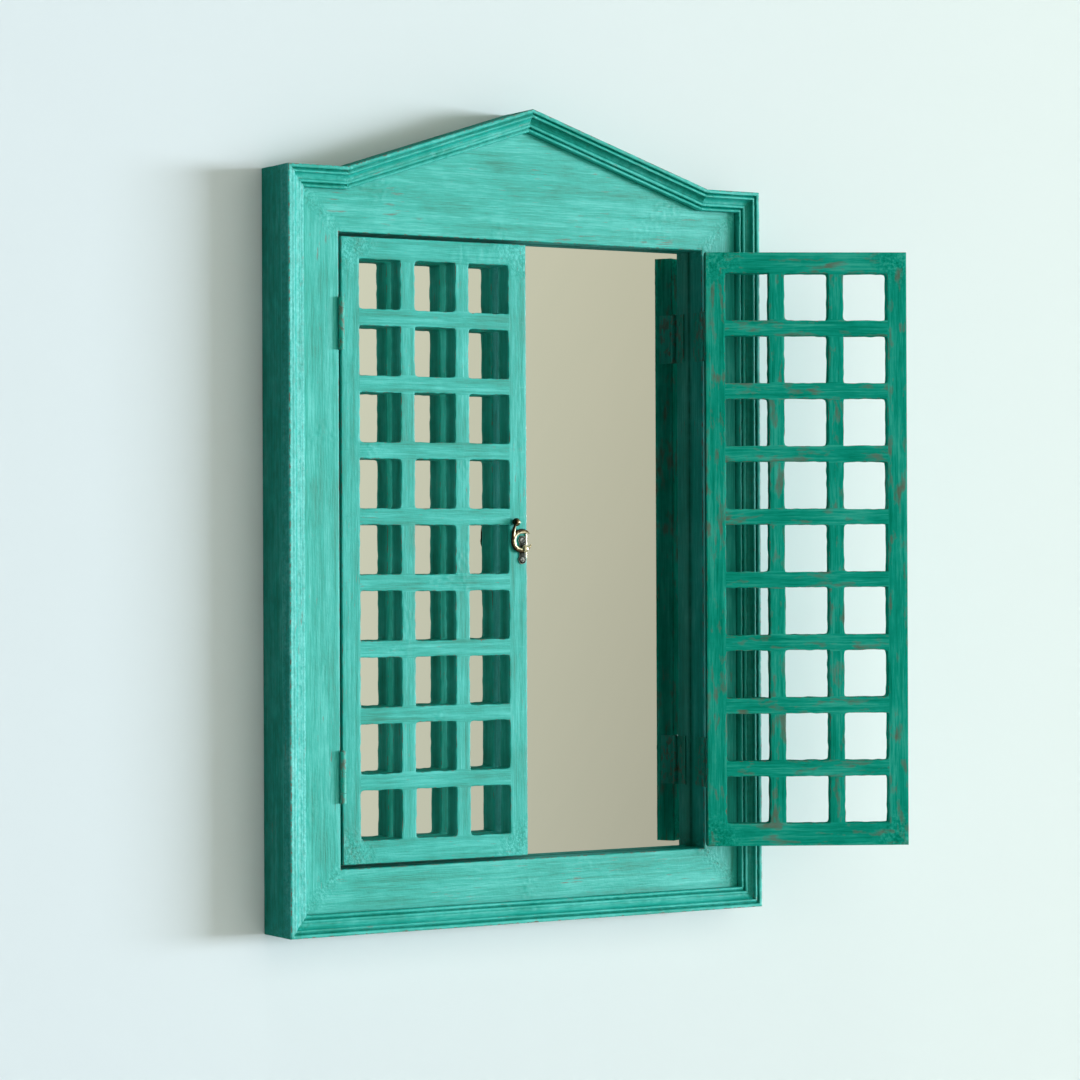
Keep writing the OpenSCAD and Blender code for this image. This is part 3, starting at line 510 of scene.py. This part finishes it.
low_left, low_right, high_right, right_foot, peak, left_foot, high_left = frame_outline
opening_half, opening_top, head_foot_x = 160, 511.5, 132
opening = [[-opening_half, timber_w], [opening_half, timber_w],
           [opening_half, opening_top], [-opening_half, opening_top]]
upright_paint = worn_paint("stile_paint", along=(0, 0, 1))
level_paint = worn_paint("rail_paint", along=(1, 0, 0), rubbed=0.655, wear=(1.7, 20))
hanger_x, hanger_middle, hanger_half, hanger_r, hanger_t = 187.0, 502.0, 19.1, 8.1, 1.5
pocket_middle, pocket_half_w, pocket_half_h, pocket_at = 503.75, 6.0, 9.75, -9.5
hole_heights, hole_sides = [467, 533], [175.5, 198.5]  # grid lines that the recess replaces
for side, (outer, inner) in zip(("left", "right"), (
        ([low_left, high_left], [opening[0], opening[3]]),
        ([low_right, high_right], [opening[1], opening[2]]))):
    grid, mark, ends, _ = member(outer, inner, [timber_w] * 2, timber_section(22), (0, 0, 1),
                                 stroke=0.05, seed=3 if side == "left" else 4)
    x = math.copysign(hanger_x, outer[0][0])
    cols = np.flatnonzero(grid[len(grid) // 2, :, 1] == 0)
    on_back = grid[:, cols]
    at_height = np.abs(on_back[:, len(cols) // 2, 2][:, None] - hole_heights).argmin(axis=0)
    across_back = np.abs(np.abs(on_back[len(grid) // 2, :, 0])[:, None] - hole_sides)
    hole_at = (*at_height, *sorted(cols[across_back.argmin(axis=0)]))
    plate = (x, hanger_middle), hanger_r, hanger_half, hanger_r
    pocket = (x, pocket_middle), pocket_half_w, pocket_half_h, 0.5
    recess = sunk(grid, hole_at, [
        (*plate, 0), (*plate, -hanger_t), (*pocket, -hanger_t), (*pocket, pocket_at)])
    skin("stile_" + side, [(grid, mark, ends, hole_at), recess], upright_paint, "frame",
         "painted_frame", side + "_stile")
rail = member([low_right, low_left], [opening[1], opening[0]], [timber_w] * 2, timber_section(22),
              (1, 0, 0), stroke=0.13, seed=5)
skin("rail_bottom", [rail], level_paint, "frame", "painted_frame", "bottom_rail")
head_inner = [opening[3], [-head_foot_x, opening_top], [0, opening_top],
              [head_foot_x, opening_top], opening[2]]
head = member([high_left, left_foot, peak, right_foot, high_right], head_inner,
              [head_h, head_h, head_peak, head_h, head_h], timber_section(46), (1, 0, 0),
              stroke=0.13, seed=6)
skin("head", [head], level_paint, "frame", "painted_frame", "pediment_head")

# The moulding: seven mitred lengths planted on the front along the outer edge. From the outside
# in it has a flat fillet, a groove, a lip, a deep cove and two thin beads with a quirk between.
# The brush left the paint lumpy in its hollows, and hands have rubbed its crests. The left length
# is painted lighter, a painted highlight, and the outer faces and the coves of the right lengths
# darker, a painted shade.


def inset(corners, width):
    """Corners of a closed outline moved inwards along their mitres, by the width of the sides."""
    side = corners - np.roll(corners, 1, axis=0)
    before = columns(-side[:, 1], side[:, 0]) / np.linalg.norm(side, axis=1)[:, None]
    after = np.roll(before, -1, axis=0)
    return corners + width * (before + after) / (1 + (before * after).sum(axis=1, keepdims=True))


def bow(middle, height, half, rise, start, stop, steps, mark):
    """Arc of an ellipse as rows of a section: across is the middle plus half the width times the
    cosine, and up is the height plus the rise times the sine."""
    angle = np.radians(np.linspace(start, stop, steps))
    return columns(0, middle + half * np.cos(angle), -body_t - height - rise * np.sin(angle), mark, 0)


fillet_h = 12.0
flat = lambda *rows: [[0, distance, -body_t - height, mark, 0] for distance, height, mark in rows]


def moulding_section(filled, cove_shade):
    """Rows across the moulding. The groove and the quirk are filled with paint by their share, and
    are marked darker where they stay open. The outer face and the foot of the inner step are
    marked below 0, a painted shade, and the cove is darker still by a share given per length, a
    painted shade on the lengths that face away from the light."""
    groove = 10.0 + 1.2 * filled
    quirk = 5.4 + 0.9 * filled
    groove_dark = -1 + 0.7 * filled
    rows = np.concatenate([
        # The outer face is marked -0.7, so its paint is darker: a painted shade.
        flat(*((0, height, -0.7) for height in (-0.5, 2, 4.5, 7, 9.8)), (0, 11.2, 0.5),
             (0.12, 11.75, 1), (0.55, fillet_h, 0.9), (1.3, fillet_h, 0.2), (2.1, fillet_h, 0.2),
             (2.5, 11.85, 0.6), (2.75, 11.3, -0.3), (2.85, groove + 0.2, groove_dark),
             (3.1, groove, groove_dark), (3.9, groove, groove_dark)),
        bow(4.95, 10.1, 0.95, 1.2, 180 - 45 * filled, 90, 5, 0.0),
        flat((5.6, 11.3, 0.4), (5.85, 11.15, 0.8), (5.95, 10.7, 0.1)),
        bow(10.5, 11.0, 4.5, 3.9, 190, 262, 9, -0.1 - cove_shade),
        flat((10.35, 6.9, -0.8 + 0.8 * filled)),
        bow(11.5, 7.0, 0.95, 0.5, 170, 10, 6, 0.35),
        flat((12.5, 6.8, 0), (12.6, quirk + 0.3, groove_dark), (12.9, quirk, groove_dark), (13.6, quirk, groove_dark)),
        bow(14.75, 5.5, 1.0, 1.0, 170 - 30 * filled, 5, 7, 0.4),
        # The inner step darkens towards its foot: a painted shade.
        flat(*((moulding_w, *row) for row in (
            (4.9, 0), (3.2, -0.1), (1.6, -0.4), (0.5, -0.9), (-0.5, -0.9)))),
    ])
    for _ in range(int(14 * filled)):
        rows[8:-5, 2] = 0.25 * rows[7:-6, 2] + 0.5 * rows[8:-5, 2] + 0.25 * rows[9:-4, 2]
    return rows


moulding_inner = inset(frame_outline, moulding_w)
moulding_names = ["bottom", "right", "right_shoulder", "right_rake", "left_rake", "left_shoulder",
                  "left"]
paint_fill = {"left": 1.0, "left_rake": 0.4, "bottom": 0.2, "left_shoulder": 0.1}
# Share by which the cove of each right-hand length is painted darker: a painted shade, as these face
# away from the light.
cove_shade_by_length = {"right_rake": 0.7, "right": 0.5, "right_shoulder": 0.3}
for k, name in enumerate(moulding_names):
    pair = [k, (k + 1) % 7]
    length = member(
        frame_outline[pair], moulding_inner[pair], [moulding_w] * 2,
        moulding_section(paint_fill.get(name, 0.0), cove_shade_by_length.get(name, 0.0)), (0, 0, 0),
        step=1.6, stroke=0.0)
    grid, mark = length[:2]
    crest = np.clip((-grid[..., 1] - 34) / 3, 0, 1)
    lumpy = unevenness(grid, (3.4, 9, 3.4), 21) + 0.5 * unevenness(grid, (1.8, 9, 1.8), 22)
    grid[..., 1] += crest * 0.5 * (lumpy - 0.4)
    mark[..., 2] = np.maximum(mark[..., 2], 0.55 * paint_fill.get(name, 0.0))
    across, up = np.diff(frame_outline[pair], axis=0)[0]
    tilt = math.atan2(up, across)
    # The left length is given a lighter tone, a painted highlight where the light falls on it.
    skin(name + "_moulding_length", [length],
         worn_paint(name + "_moulding_paint", along=(1, 0, 0), turn=(0, -tilt, 0), rubbed=0.66,
                    tone=(1.50, 1.06, 1.10) if name == "left" else (1, 1.02, 1.02)),
         "frame", "painted_moulding", name + "_moulding")

# The mirror: float glass silvered on its back, in the rebate behind the opening, with a raw
# hardboard backing that ten brads hold in. The glass carries a faint film of dust and wipe marks.
glass, nodes = empty_finish("silvered_glass")
wipes = nodes.put("Mapping", {"Vector": nodes.spot(), "Rotation": (0, 0.5, 0),
                              "Scale": (0.02, 0.1, 0.09)}, vector_type="TEXTURE").outputs[0]
film = nodes.noise(wipes, 1.0, 4.0)
nodes.surface({"Base Color": nodes.tint(film, (0.86, 0.89, 0.87), (0.89, 0.91, 0.89)),
               "Metallic": 1.0, "Roughness": nodes.span(film, 0.45, 0.8, 0.012, 0.05)})

board, nodes = empty_finish("raw_hardboard")
fibres = nodes.noise(nodes.spot(), 900.0, 5.0, 0.7)
pulp = nodes.weighed((fibres, 0.5), (nodes.noise(nodes.spot(), 14.0, 3.0), 0.5))
browns = nodes.ramp(pulp, (0.35, (0.17, 0.09, 0.045)), (0.65, (0.42, 0.27, 0.15)))
fuzz = nodes.put("Bump", {"Height": fibres, "Strength": 0.4, "Distance": 0.0003}).outputs[0]
nodes.surface({"Base Color": browns, "Roughness": 0.85, "Normal": fuzz})


def refinish(finish, *names):
    """Gives CAD nodes this material in their own slots."""
    for name in names:
        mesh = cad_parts[name].data
        mesh.materials.clear()
        mesh.materials.append(finish)


refinish(glass, "mirror_glass")
refinish(board, "backing_board")

# The hangers and the fasteners at the back: pressed steel keyhole plates let into the stiles and
# screwed there, nails through the mitres and wire brads. The plates and screws are zinc plated.


def metal(name, dark, light, size, rough, rubbed=None):
    """Metal with cloudy tarnish: noise mixes two colours, more of it scratches the gloss, and the
    arrises are rubbed bright. On the latch the same arris mark also carries a painted highlight on
    the sides towards the light and a painted shade on the far sides."""
    finish, nodes = empty_finish(name)
    cloud = nodes.noise(nodes.spot(), size, 4.0, 0.6)
    grit = nodes.noise(nodes.spot(), size * 9, 2.0)
    arris = nodes.mark("arris")
    patina = nodes.ramp(nodes.weighed((arris, 0.22), (cloud, 1.0)), (0.35, dark), (0.62, light))
    bright = nodes.span(nodes.math("ADD", arris, cloud), 0.7, 1.3)
    pits = nodes.put("Bump", {"Height": grit, "Strength": 0.25, "Distance": 0.0002}).outputs[0]
    nodes.surface({"Base Color": nodes.tint(bright, patina, rubbed or light), "Metallic": 1.0,
                   "Roughness": nodes.span(grit, 0.3, 0.7, rough, rough + 0.25), "Normal": pits})
    return finish


zinc = metal("zinc_plate", (0.42, 0.43, 0.44), (0.66, 0.67, 0.66), 160, 0.28)
wire = metal("drawn_wire", (0.30, 0.30, 0.29), (0.55, 0.55, 0.54), 300, 0.25)
refinish(zinc, "left_hanger", "right_hanger", "hanger_screws")
refinish(wire, "mitre_nails", "backing_pins")

# The doors: two lattices of stiles, rails, uprights and half-lapped cross bars, hung like
# shutters. The paint lies over their joints in one thick skin, so each door is one surface
# here, with softly rounded arrises and 27 uneven openings.
door_w, door_h, door_t = 156.0, 458.5, 15.0
cells = (3, 9)
cell_half = np.array([17.1, 18.3055])
half_bar = (5.85, 6)
edge_r = 0.5
beside = np.array([[15, 15], [17, 16]]) - edge_r  # wood before and beyond the cells, less the arris
pitch = np.array([45.9, 48.611])
first_cell = np.array([15, 17]) + cell_half
pin_at, pin_off = (159.1, -33.3), 0.9
door_foot = 50.0
corner_r = 3.4
left_swing, right_swing = math.radians(1.1), math.radians(151)
side_steps = 19
cad_box = np.array([cad_low, cad_high]) * 1000 + [0, 0, hang_height]


def hung_door(points, swing, side):
    """Places in the frame of points (across from the hinge side, depth, height) in a door, held
    within the box of the CAD model."""
    across = points[..., 0] + pin_off
    deep = points[..., 1] - body_t - pin_at[1]
    x = -pin_at[0] + across * math.cos(swing) + deep * math.sin(swing)
    y = pin_at[1] - across * math.sin(swing) + deep * math.cos(swing)
    return np.clip(columns(x if side < 0 else -x, y, points[..., 2] + door_foot), *cad_box)


def ring(half, margin, grow, sharp):
    """Closed line round a cell. The straight parts keep their places along the sides; each corner
    runs from a circle towards a square by its share of sharpness. With a margin per side the
    line is the square border of the cell's share of wood."""
    angle = np.radians(np.linspace(0, 90, 7))
    square = np.minimum(1, columns(1 / np.tan(np.maximum(angle, 1e-6)), np.tan(angle)))
    square[-1] = [0, 1]
    circle = columns(np.cos(angle), np.sin(angle))
    straight = np.linspace(-1, 1, side_steps)[1:-1]
    line = []
    for k, (sx, sy) in enumerate([(1, 1), (-1, 1), (-1, -1), (1, -1)]):
        if margin is None:
            reach = corner_r + grow
            arc = (1 - sharp[k]) * circle + sharp[k] * square
        else:
            reach = corner_r + np.array([margin[0 if sx > 0 else 1], margin[2 if sy > 0 else 3]])
            arc = square
        quarter = (half - corner_r + arc * reach) * [sx, sy]
        if k % 2:
            quarter = quarter[::-1]
        stretch = quarter[-1] * np.ones((len(straight), 1))
        stretch[:, k % 2] = (half - corner_r)[k % 2] * straight * (-1 if k < 2 else 1)
        line += [quarter, stretch]
    line = np.concatenate(line)
    return np.concatenate([line, line[:1]])


def side_line(half, low, high):
    """Places along one side of a cell's border, from corner to corner, as ring() spaces them."""
    lean = np.tan(np.radians(np.linspace(0, 45, 4)))
    end = half - corner_r
    return np.concatenate([-end - (corner_r + low) * lean[:0:-1],
                           np.linspace(-1, 1, side_steps) * end, end + (corner_r + high) * lean[1:]])


def margins(axis, k):
    """Wood between a cell and its border, before it and beyond it along an axis."""
    return [beside[axis][0] if k == 0 else half_bar[axis],
            beside[axis][1] if k == cells[axis] - 1 else half_bar[axis]]


def lattice(swing, side, seed):
    """Skin of one door: a ring grid through every cell, from the front border over the rounded
    arris, through the wood and out to the back border, and a band round the door's edge."""
    draw = np.random.default_rng(seed)
    own_noise = [0, 0, 900 + 900 * side]
    rim, corner_reach = 1.4, 14
    patches = []
    over = [(edge_r * (1 - math.sin(a)), edge_r * (1 - math.cos(a)))
            for a in np.radians([0, 30, 60, 90])]
    through = over + [(0, 3.0), (0, 7.5), (0, 12.0)] + [(g, door_t - d) for g, d in over[::-1]]
    # Marks across a cell's wood: the rounded arrises are rubbed, and the cell's inner walls are marked
    # below 0, so their paint is darker: a painted shade.
    glow = [0.45, 0.9, 0.9, 0.45, -0.3, -0.4, -0.3, 0.45, 0.9, 0.9, 0.45]
    marks = [0.0] * 6 + [0.12] + glow + [0.12] + [0.0] * 6
    for i, j in np.ndindex(cells):
        border_middle = first_cell + pitch * [i, j]
        middle = border_middle + draw.uniform(-0.25, 0.25, 2)
        sharp = draw.uniform(0.25, 1.0, 4)
        margin = margins(0, i)[::-1] + margins(1, j)[::-1]
        border = border_middle + ring(cell_half, margin, 0, sharp)
        near = middle + ring(cell_half, None, edge_r + rim, sharp)
        spread = [border + (near - border) * t for t in np.linspace(0, 1, 7)]
        stack = [(line, 0.0) for line in spread]
        stack += [(middle + ring(cell_half, None, grow, sharp), deep) for grow, deep in through]
        stack += [(line, door_t) for line in spread[::-1]]
        grid = np.array([at_depth(line, deep) for line, deep in stack])
        out = grid[..., [0, 2]] - border_middle
        out /= np.linalg.norm(out, axis=-1, keepdims=True)
        uneven = 0.75 * (unevenness(grid + own_noise, (5, 7, 5), 31) - 0.5)
        uneven[[0, -1]] = 0
        grid[..., [0, 2]] += out * uneven[..., None]
        patches.append((grid, np.array(marks)[:, None]))
    xs, zs = (np.concatenate([
        first_cell[axis] + pitch[axis] * k + side_line(cell_half[axis], *margins(axis, k))[k > 0:]
        for k in range(cells[axis])]) for axis in (0, 1))
    loop = np.concatenate([
        columns(xs, zs[0])[:-1], columns(xs[-1], zs)[:-1],
        columns(xs, zs[-1])[:0:-1], columns(xs[0], zs)[:0:-1]])
    loop = np.concatenate([loop, loop[:1]])
    step_out = 1.0 * (loop == [xs[-1], zs[-1]]) - (loop == [xs[0], zs[0]])
    grid = np.array([at_depth(loop + step_out * (edge_r - back), deep) for back, deep in through])
    # The door's edge band takes the same marks, so the middle of the edge is painted darker too: a
    # painted shade.
    patches.append((grid, np.array(glow)[:, None]))
    placed = []
    for grid, mark in patches:
        face = 1.0 * (grid[..., 1] < 0.5) - (grid[..., 1] > door_t - 0.5)
        on_own = grid + own_noise
        off_corner = np.hypot(*[np.minimum(np.abs(grid[..., k]), np.abs(size - grid[..., k])) / 1.2
                                for k, size in ((0, door_w), (2, door_h))])
        joint = np.clip(1.9 - off_corner / corner_reach, 0, 1) * (np.abs(mark) < 0.2)
        corner_lumps = np.clip(unevenness(on_own, (2.4, 9, 2.4), 45) - 0.42, 0, 1) * 1.1
        lumps = 0.5 * daubs(on_own, 40) + joint * corner_lumps
        grid[..., 1] -= face * (0.05 * unevenness(on_own, (2.4, 9, 2.4), 33) + lumps)
        placed.append((hung_door(grid, swing, side), columns(mark, 0, joint), "", None))
    return placed


def bars_across(nodes, spot, turn, middle):
    """1 where the grain runs across: in the top and bottom rail, up to the mitres, and in the
    cross bars between the stiles; 0 in the stiles and uprights."""
    local = nodes.put("Mapping", {"Vector": spot, "Location": middle, "Rotation": (0, 0, turn)},
                      vector_type="TEXTURE").outputs[0]
    part = nodes.put("SeparateXYZ", {0: local}).outputs
    rail_w, half_bar_w, stile_w = 0.0172, 0.0068, 0.0148
    half_w, half_h, half_pitch, first_bar = (
        0.001 * v for v in (door_w / 2, door_h / 2, pitch[1] / 2, first_cell[1] + pitch[1] / 2))
    from_side = nodes.math("SUBTRACT", half_w, nodes.math("ABSOLUTE", part[0]))
    from_end = nodes.math("SUBTRACT", half_h, nodes.math("ABSOLUTE", part[2]))
    rail = nodes.math("LESS_THAN", from_end, from_side)
    rail = nodes.math("MULTIPLY", rail, nodes.math("LESS_THAN", from_end, rail_w))
    bar = nodes.math("PINGPONG", nodes.math("ADD", part[2], half_h - first_bar), half_pitch)
    bar = nodes.math("MULTIPLY", nodes.math("LESS_THAN", bar, half_bar_w),
                     nodes.math("GREATER_THAN", from_side, stile_w))
    return nodes.math("MAXIMUM", rail, bar)


door_parts = ["hinge_stile", "meeting_stile", "top_rail", "bottom_rail", "upright_1", "upright_2",
              "cross_bars"]
door_looks = {
    "left": {"rubbed": 0.67, "wear": (1.8, 12), "tone": (0.75, 0.97, 0.98)},
    # The right door's darker, greener tone is a painted shade, for the shade that its face lies in as
    # it stands open.
    "right": {"rubbed": 0.58, "softly": 0.11, "wear": (6, 20), "tone": (0.65, 0.91, 0.81),
              "shine": 0.0, "even_shine": True},
}
for word, side, swing, seed in (("left", -1, left_swing, 11), ("right", 1, right_swing, 12)):
    middle = tuple(place(hung_door(np.array([door_w, door_t, door_h]) / 2, swing, side)))
    finish = worn_paint(
        word + "_door_paint", turn=(0, 0, side * swing), origin=middle, **door_looks[word],
        crossing=lambda nodes, spot: bars_across(nodes, spot, side * swing, middle))
    skin(word + "_lattice", lattice(swing, side, seed), finish, word + "_door", "painted_lattice",
         *[word + "_" + part for part in door_parts])

# The hinges: four butt hinges with five knuckles, painted over with the wood. The pins carry a
# flat head, and two countersunk screws hold each leaf.
hinge_paint = worn_paint("hinge_paint", along=(0, 0, 1), tone=(0.6, 0.90, 0.84), rubbed=0.56,
                         wear=(3, 6), even_shine=True)
refinish(hinge_paint, *[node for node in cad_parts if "leaf" in node or "hinge_pin" in node])

# The latch: a cast and tumbled brass swing hook with a ball knob, riveted to a two-lobed plate on
# the left door, and a headed peg on a like plate on the right door. It is dark with patina and
# bright where it is rubbed. The sides of the hook and knob towards the light are painted lighter, a
# painted highlight, and their far sides darker, a painted shade. A raised rim along the door's
# edge keeps the hook off the paint; it is painted bright all over, a painted highlight.
latch_x, latch_z = -6.6, 279.25
rivet_x, rivet_z = -4.9, 280.05
peg_x, peg_z, keeper_x = -4.5, 282.05, -6.2
plate_t, waist_half, lobe_r, lobe_at = 1.2, 2.6, 3.5, 7.2
hook_middle = 2.25


def turned(x, z, profile):
    """Surface of revolution about a line out of the door: at each height above its face the
    profile gives a radius. Rows are (radius, height, arris)."""
    radius, height, arris = np.asarray(profile, float).T
    angle = np.linspace(0, 2 * math.pi, 41)
    grid = columns(x + radius[:, None] * np.cos(angle), height[:, None],
                   z + radius[:, None] * np.sin(angle))
    return grid, columns(arris[:, None] + 0 * angle, 0, 0), "", None


def lobed_plate(x, z):
    """Plate with a screw hole in each lobe. Its outline is half a lobe and waist, turned round by
    180 degrees for the other half; the rim steps in and up from it, and the top of each half runs
    from the outline to the hole along straight lines, and down into the countersink."""
    start = -math.acos(waist_half / lobe_r)
    arc = np.linspace(start, math.pi - start, 33)
    low = lobe_at + lobe_r * math.sin(start)
    half = np.concatenate([
        columns(waist_half, np.linspace(0, low, 7)[:-1]),
        columns(lobe_r * np.cos(arc), lobe_at + lobe_r * np.sin(arc)),
        columns(-waist_half, np.linspace(low, 0, 7)[1:])])
    side = np.diff(half, axis=0)
    side = np.concatenate([[[0, 1]], (side[1:] + side[:-1]) / 2, [[0, -1]]])
    outwards = columns(side[:, 1], -side[:, 0])
    outwards /= np.linalg.norm(outwards, axis=1, keepdims=True)
    inner = half - 0.4 * outwards
    rim = []
    for step, height in ((0, 0), (0, 0.7), (0.1, 1.0), (0.22, 1.13), (0.4, plate_t)):
        line = half - step * outwards
        rim.append(at_depth(np.concatenate([line[:-1], -line[:-1], line[:1]]) + [x, z], height))
    arris = lambda *marks: columns(np.array(marks)[:, None], 0, 0)
    patches = [(np.array(rim), arris(0, 0.2, 0.9, 1, -0.2), "first", None)]
    outline = np.concatenate([inner, columns(np.linspace(inner[-1, 0], inner[0, 0], 9)[1:], 0)])
    towards = outline - [0, lobe_at]
    towards /= np.linalg.norm(towards, axis=1, keepdims=True)
    countersink = (1.85, plate_t), (1.75, 1.1), (1.0, 0.35)
    for way in (1, -1):
        lines = [(outline, plate_t)] + [([0, lobe_at] + radius * towards, height)
                                        for radius, height in countersink]
        grid = np.array([at_depth(way * line + [x, z], height) for line, height in lines])
        patches.append((grid, arris(-0.2, -0.4, 0.8, -1), "last", None))
    return patches


def slotted_head(x, z, lean):
    """Countersunk head with a slot: lines across the head at places s from the slot's middle line
    are as long as the circle is wide there, and lie at the bottom of the slot next to it."""
    radius, top, half_slot = 1.7, 1.12, 0.24
    c, d = math.cos(lean), math.sin(lean)
    s = np.array([1, 0.93, 0.75, 0.5, half_slot / radius, half_slot / radius]) * radius
    s = np.concatenate([-s, s[::-1]])
    t = np.linspace(-1, 1, 9) * np.sqrt(radius ** 2 - s ** 2)[:, None]
    floor = np.isin(np.arange(12), (5, 6))[:, None]
    crown = top + 0.06 * (1 - (s[:, None] ** 2 + t ** 2) / radius ** 2) - 0.55 * floor
    upper, lower = (columns(x + s[:, None] * c - t * d, height, z + s[:, None] * d + t * c)
                    for height in (crown, top - 0.8))
    sides = [np.stack([upper[:, end], lower[:, end]]) for end in (0, -1)]
    return [(grid, np.array([0.3, 0, 0]), "", None) for grid in (upper, lower, *sides)]


def carried(line, across, half_w, middle, half_t, blunt=3.2, lit=0.0):
    """Bar with a rounded section carried along a line in the door's plane: each point is the
    line's plus the half width times cos^(2/blunt) across it, and its height above the face is the
    middle plus the half thickness times sin^(2/blunt). It is rubbed on its top arrises; the side
    that lit points to is painted lighter, a painted highlight, and the other side darker, a
    painted shade."""
    turn = np.linspace(0, 2 * math.pi, 29)
    wide = np.sign(np.cos(turn)) * np.abs(np.cos(turn)) ** (2 / blunt)
    high = np.sign(np.sin(turn)) * np.abs(np.sin(turn)) ** (2 / blunt)
    plan = line[:, None] + across[:, None] * (half_w[:, None] * wide)[..., None]
    height = middle[:, None] + half_t[:, None] * high
    arris = np.clip(2.4 * np.abs(wide * high) - 0.6, 0, 1) * (high > 0) * (lit * wide > -0.5)
    arris = np.clip(arris + 1.3 * lit * wide - 0.3 * abs(lit), -1, 1) + 0 * height
    return at_depth(plan, height), columns(arris, 0, 0), "first last", None


def fitting(name, patches, finish, body, node):
    """Piece of the latch, drawn as (x in the closed left door, height above its face, height of the
    frame) and carried over to its own door as that hangs."""
    hang = (right_swing, 1) if body == "right_door" else (left_swing, -1)
    to_door = [pin_at[0] - pin_off, 0, -door_foot]
    moved = [(hung_door(grid * [1, -1, 1] + to_door, *hang), *rest) for grid, *rest in patches]
    skin(name, moved, finish, body, "aged_brass", node)


def boss(radius):
    """Profile of a low round boss with a softened rim."""
    return [(0, 0, 0), (radius, 0, 0), (radius, 0.8, 0.2), (radius - 0.1, 1.05, 0.9),
            (radius - 0.3, 1.2, 0.8), (radius - 0.6, 1.23, 0.1), (0, 1.23, 0)]


brass = metal("aged_brass", (0.035, 0.025, 0.014), (0.28, 0.21, 0.11), 420, 0.20,
              rubbed=(0.66, 0.60, 0.42))
dull_brass = metal("patinated_brass", (0.006, 0.008, 0.007), (0.07, 0.07, 0.06), 300, 0.34,
                   rubbed=(0.78, 0.78, 0.72))
jaw, crescent = np.array([-2.8, 5.9]), np.array([-3.1, 6.0])
jaw_r, crescent_r, nose_r, knob_r, knob_left = 5.4, 9.0, 11.61, 3.1, 8.3
around = np.radians(np.linspace(40, 342, 88))
ray_out = columns(np.cos(around), np.sin(around))
to_circle = lambda centre, radius: -ray_out @ (jaw - centre) + np.sqrt(
    (ray_out @ (jaw - centre)) ** 2 - ((jaw - centre) ** 2).sum() + radius ** 2)
lip_side = np.array([math.sin(math.radians(35)), -math.cos(math.radians(35))])
to_lip = -(jaw @ lip_side) / (ray_out @ lip_side)
inside_r = np.where(around < math.pi / 2, to_circle(np.zeros(2), nose_r), jaw_r)
inside_r = np.where(around > math.radians(296), np.maximum(jaw_r, to_lip), inside_r)
outside_r = to_circle(crescent, crescent_r)
bow_line = jaw + [rivet_x, rivet_z] + ray_out * ((inside_r + outside_r) / 2)[:, None]
bow_half = (outside_r - inside_r) / 2
stem = np.linspace(0, 1, 12)
stem_line = [rivet_x, rivet_z] + columns(
    -10.0 + 1.7 * stem - 0.9 * np.sin(math.pi * stem), 7.0 + 13.0 * stem)
stem_across = columns(1, -0.12 + 0 * stem)
# The bow is painted lighter on its inner side and darker outside, and the stem lighter on its right
# side and darker on its left: painted highlight and shade.
hook = [
    carried(bow_line, ray_out, bow_half, hook_middle + 0 * around,
            0.9 * np.clip(bow_half / 0.9, 0.55, 1), lit=-1),
    carried(stem_line, stem_across, 1.75 - 0.75 * stem, hook_middle + 1.35 * stem ** 2,
            0.88 - 0.02 * stem, blunt=2.6, lit=1),
    turned(rivet_x, rivet_z, [(0, 1.36, 0), (2.6, 1.36, 0), (2.95, 1.6, 0), (3.0, 2.25, 0.2),
                              (2.9, 2.85, 0.9), (2.6, 3.14, 0.6), (0, 3.14, 0)]),
    turned(rivet_x - knob_left, rivet_z + 20, [
        (knob_r * math.cos(a), 3.6 + knob_r * math.sin(a), 0.0)
        for a in np.radians(np.linspace(-90, 90, 21))]),
]
knob, knob_light_mark = hook[-1][:2]
# The knob is painted lighter on its right side and darker on its left: a painted highlight and shade.
knob_light_mark[..., 0] = np.clip((knob[..., 0] - rivet_x + knob_left) / 2.2, -1, 1)
fitting("hook", hook, brass, "latch_hook", "latch_hook")
even = np.ones(16)
rim_line = columns(-3.3, rivet_z + np.linspace(-6.5, 12.6, 16))
rim, rim_mark, *rim_ends = carried(
    rim_line, columns(even, 0), 0.75 * even, 0.6 * even, 0.66 * even, blunt=2.4)
shank = [(0, 1.0, 0), (1.3, 1.0, 0), (1.3, 3.3, 0)]
rivet = shank + [(2.05, 3.3, 0), (2.2, 3.42, 0.3), (2.1, 3.8, 0.5), (1.75, 4.12, 0.9),
                 (1.2, 4.32, 1), (0.6, 4.39, 1), (0, 4.4, 1)]
peg = shank + [(1.62, 3.3, 0.2), (1.8, 3.42, 0.8), (1.76, 3.8, 0.6), (1.4, 4.17, 0.9), (0, 4.2, 0.2)]


def mounted(word, door, x, posts, names, leans):
    """Plate with the boss under its post, the post, and two screw heads."""
    base = lobed_plate(x, latch_z) + posts[:1]
    fitting(word + "_base", base, dull_brass, door, word + "_plate")
    fitting(names[0], posts[1:], brass, door, names[1])
    heads = [slotted_head(x, latch_z + way * lobe_at, lean) for way, lean in zip((-1, 1), leans)]
    fitting(word + "_screw_heads", sum(heads, []), dull_brass, door, word + "_screws")


# The rim is marked as an arris all over, so it shows bright along the door's edge: a painted
# highlight.
mounted("latch", "left_door", latch_x,
        [turned(rivet_x, rivet_z, boss(2.8)), turned(rivet_x, rivet_z, rivet),
         (rim, rim_mark * 0 + [1, 0, 0], *rim_ends)], ("hook_rivet", "latch_rivet"), (0.5, -0.8))
mounted("keeper", "right_door", keeper_x,
        [turned(peg_x, peg_z, boss(2.3)), turned(peg_x, peg_z, peg)],
        ("keeper_stud", "keeper_peg"), (0.2, 1.1))
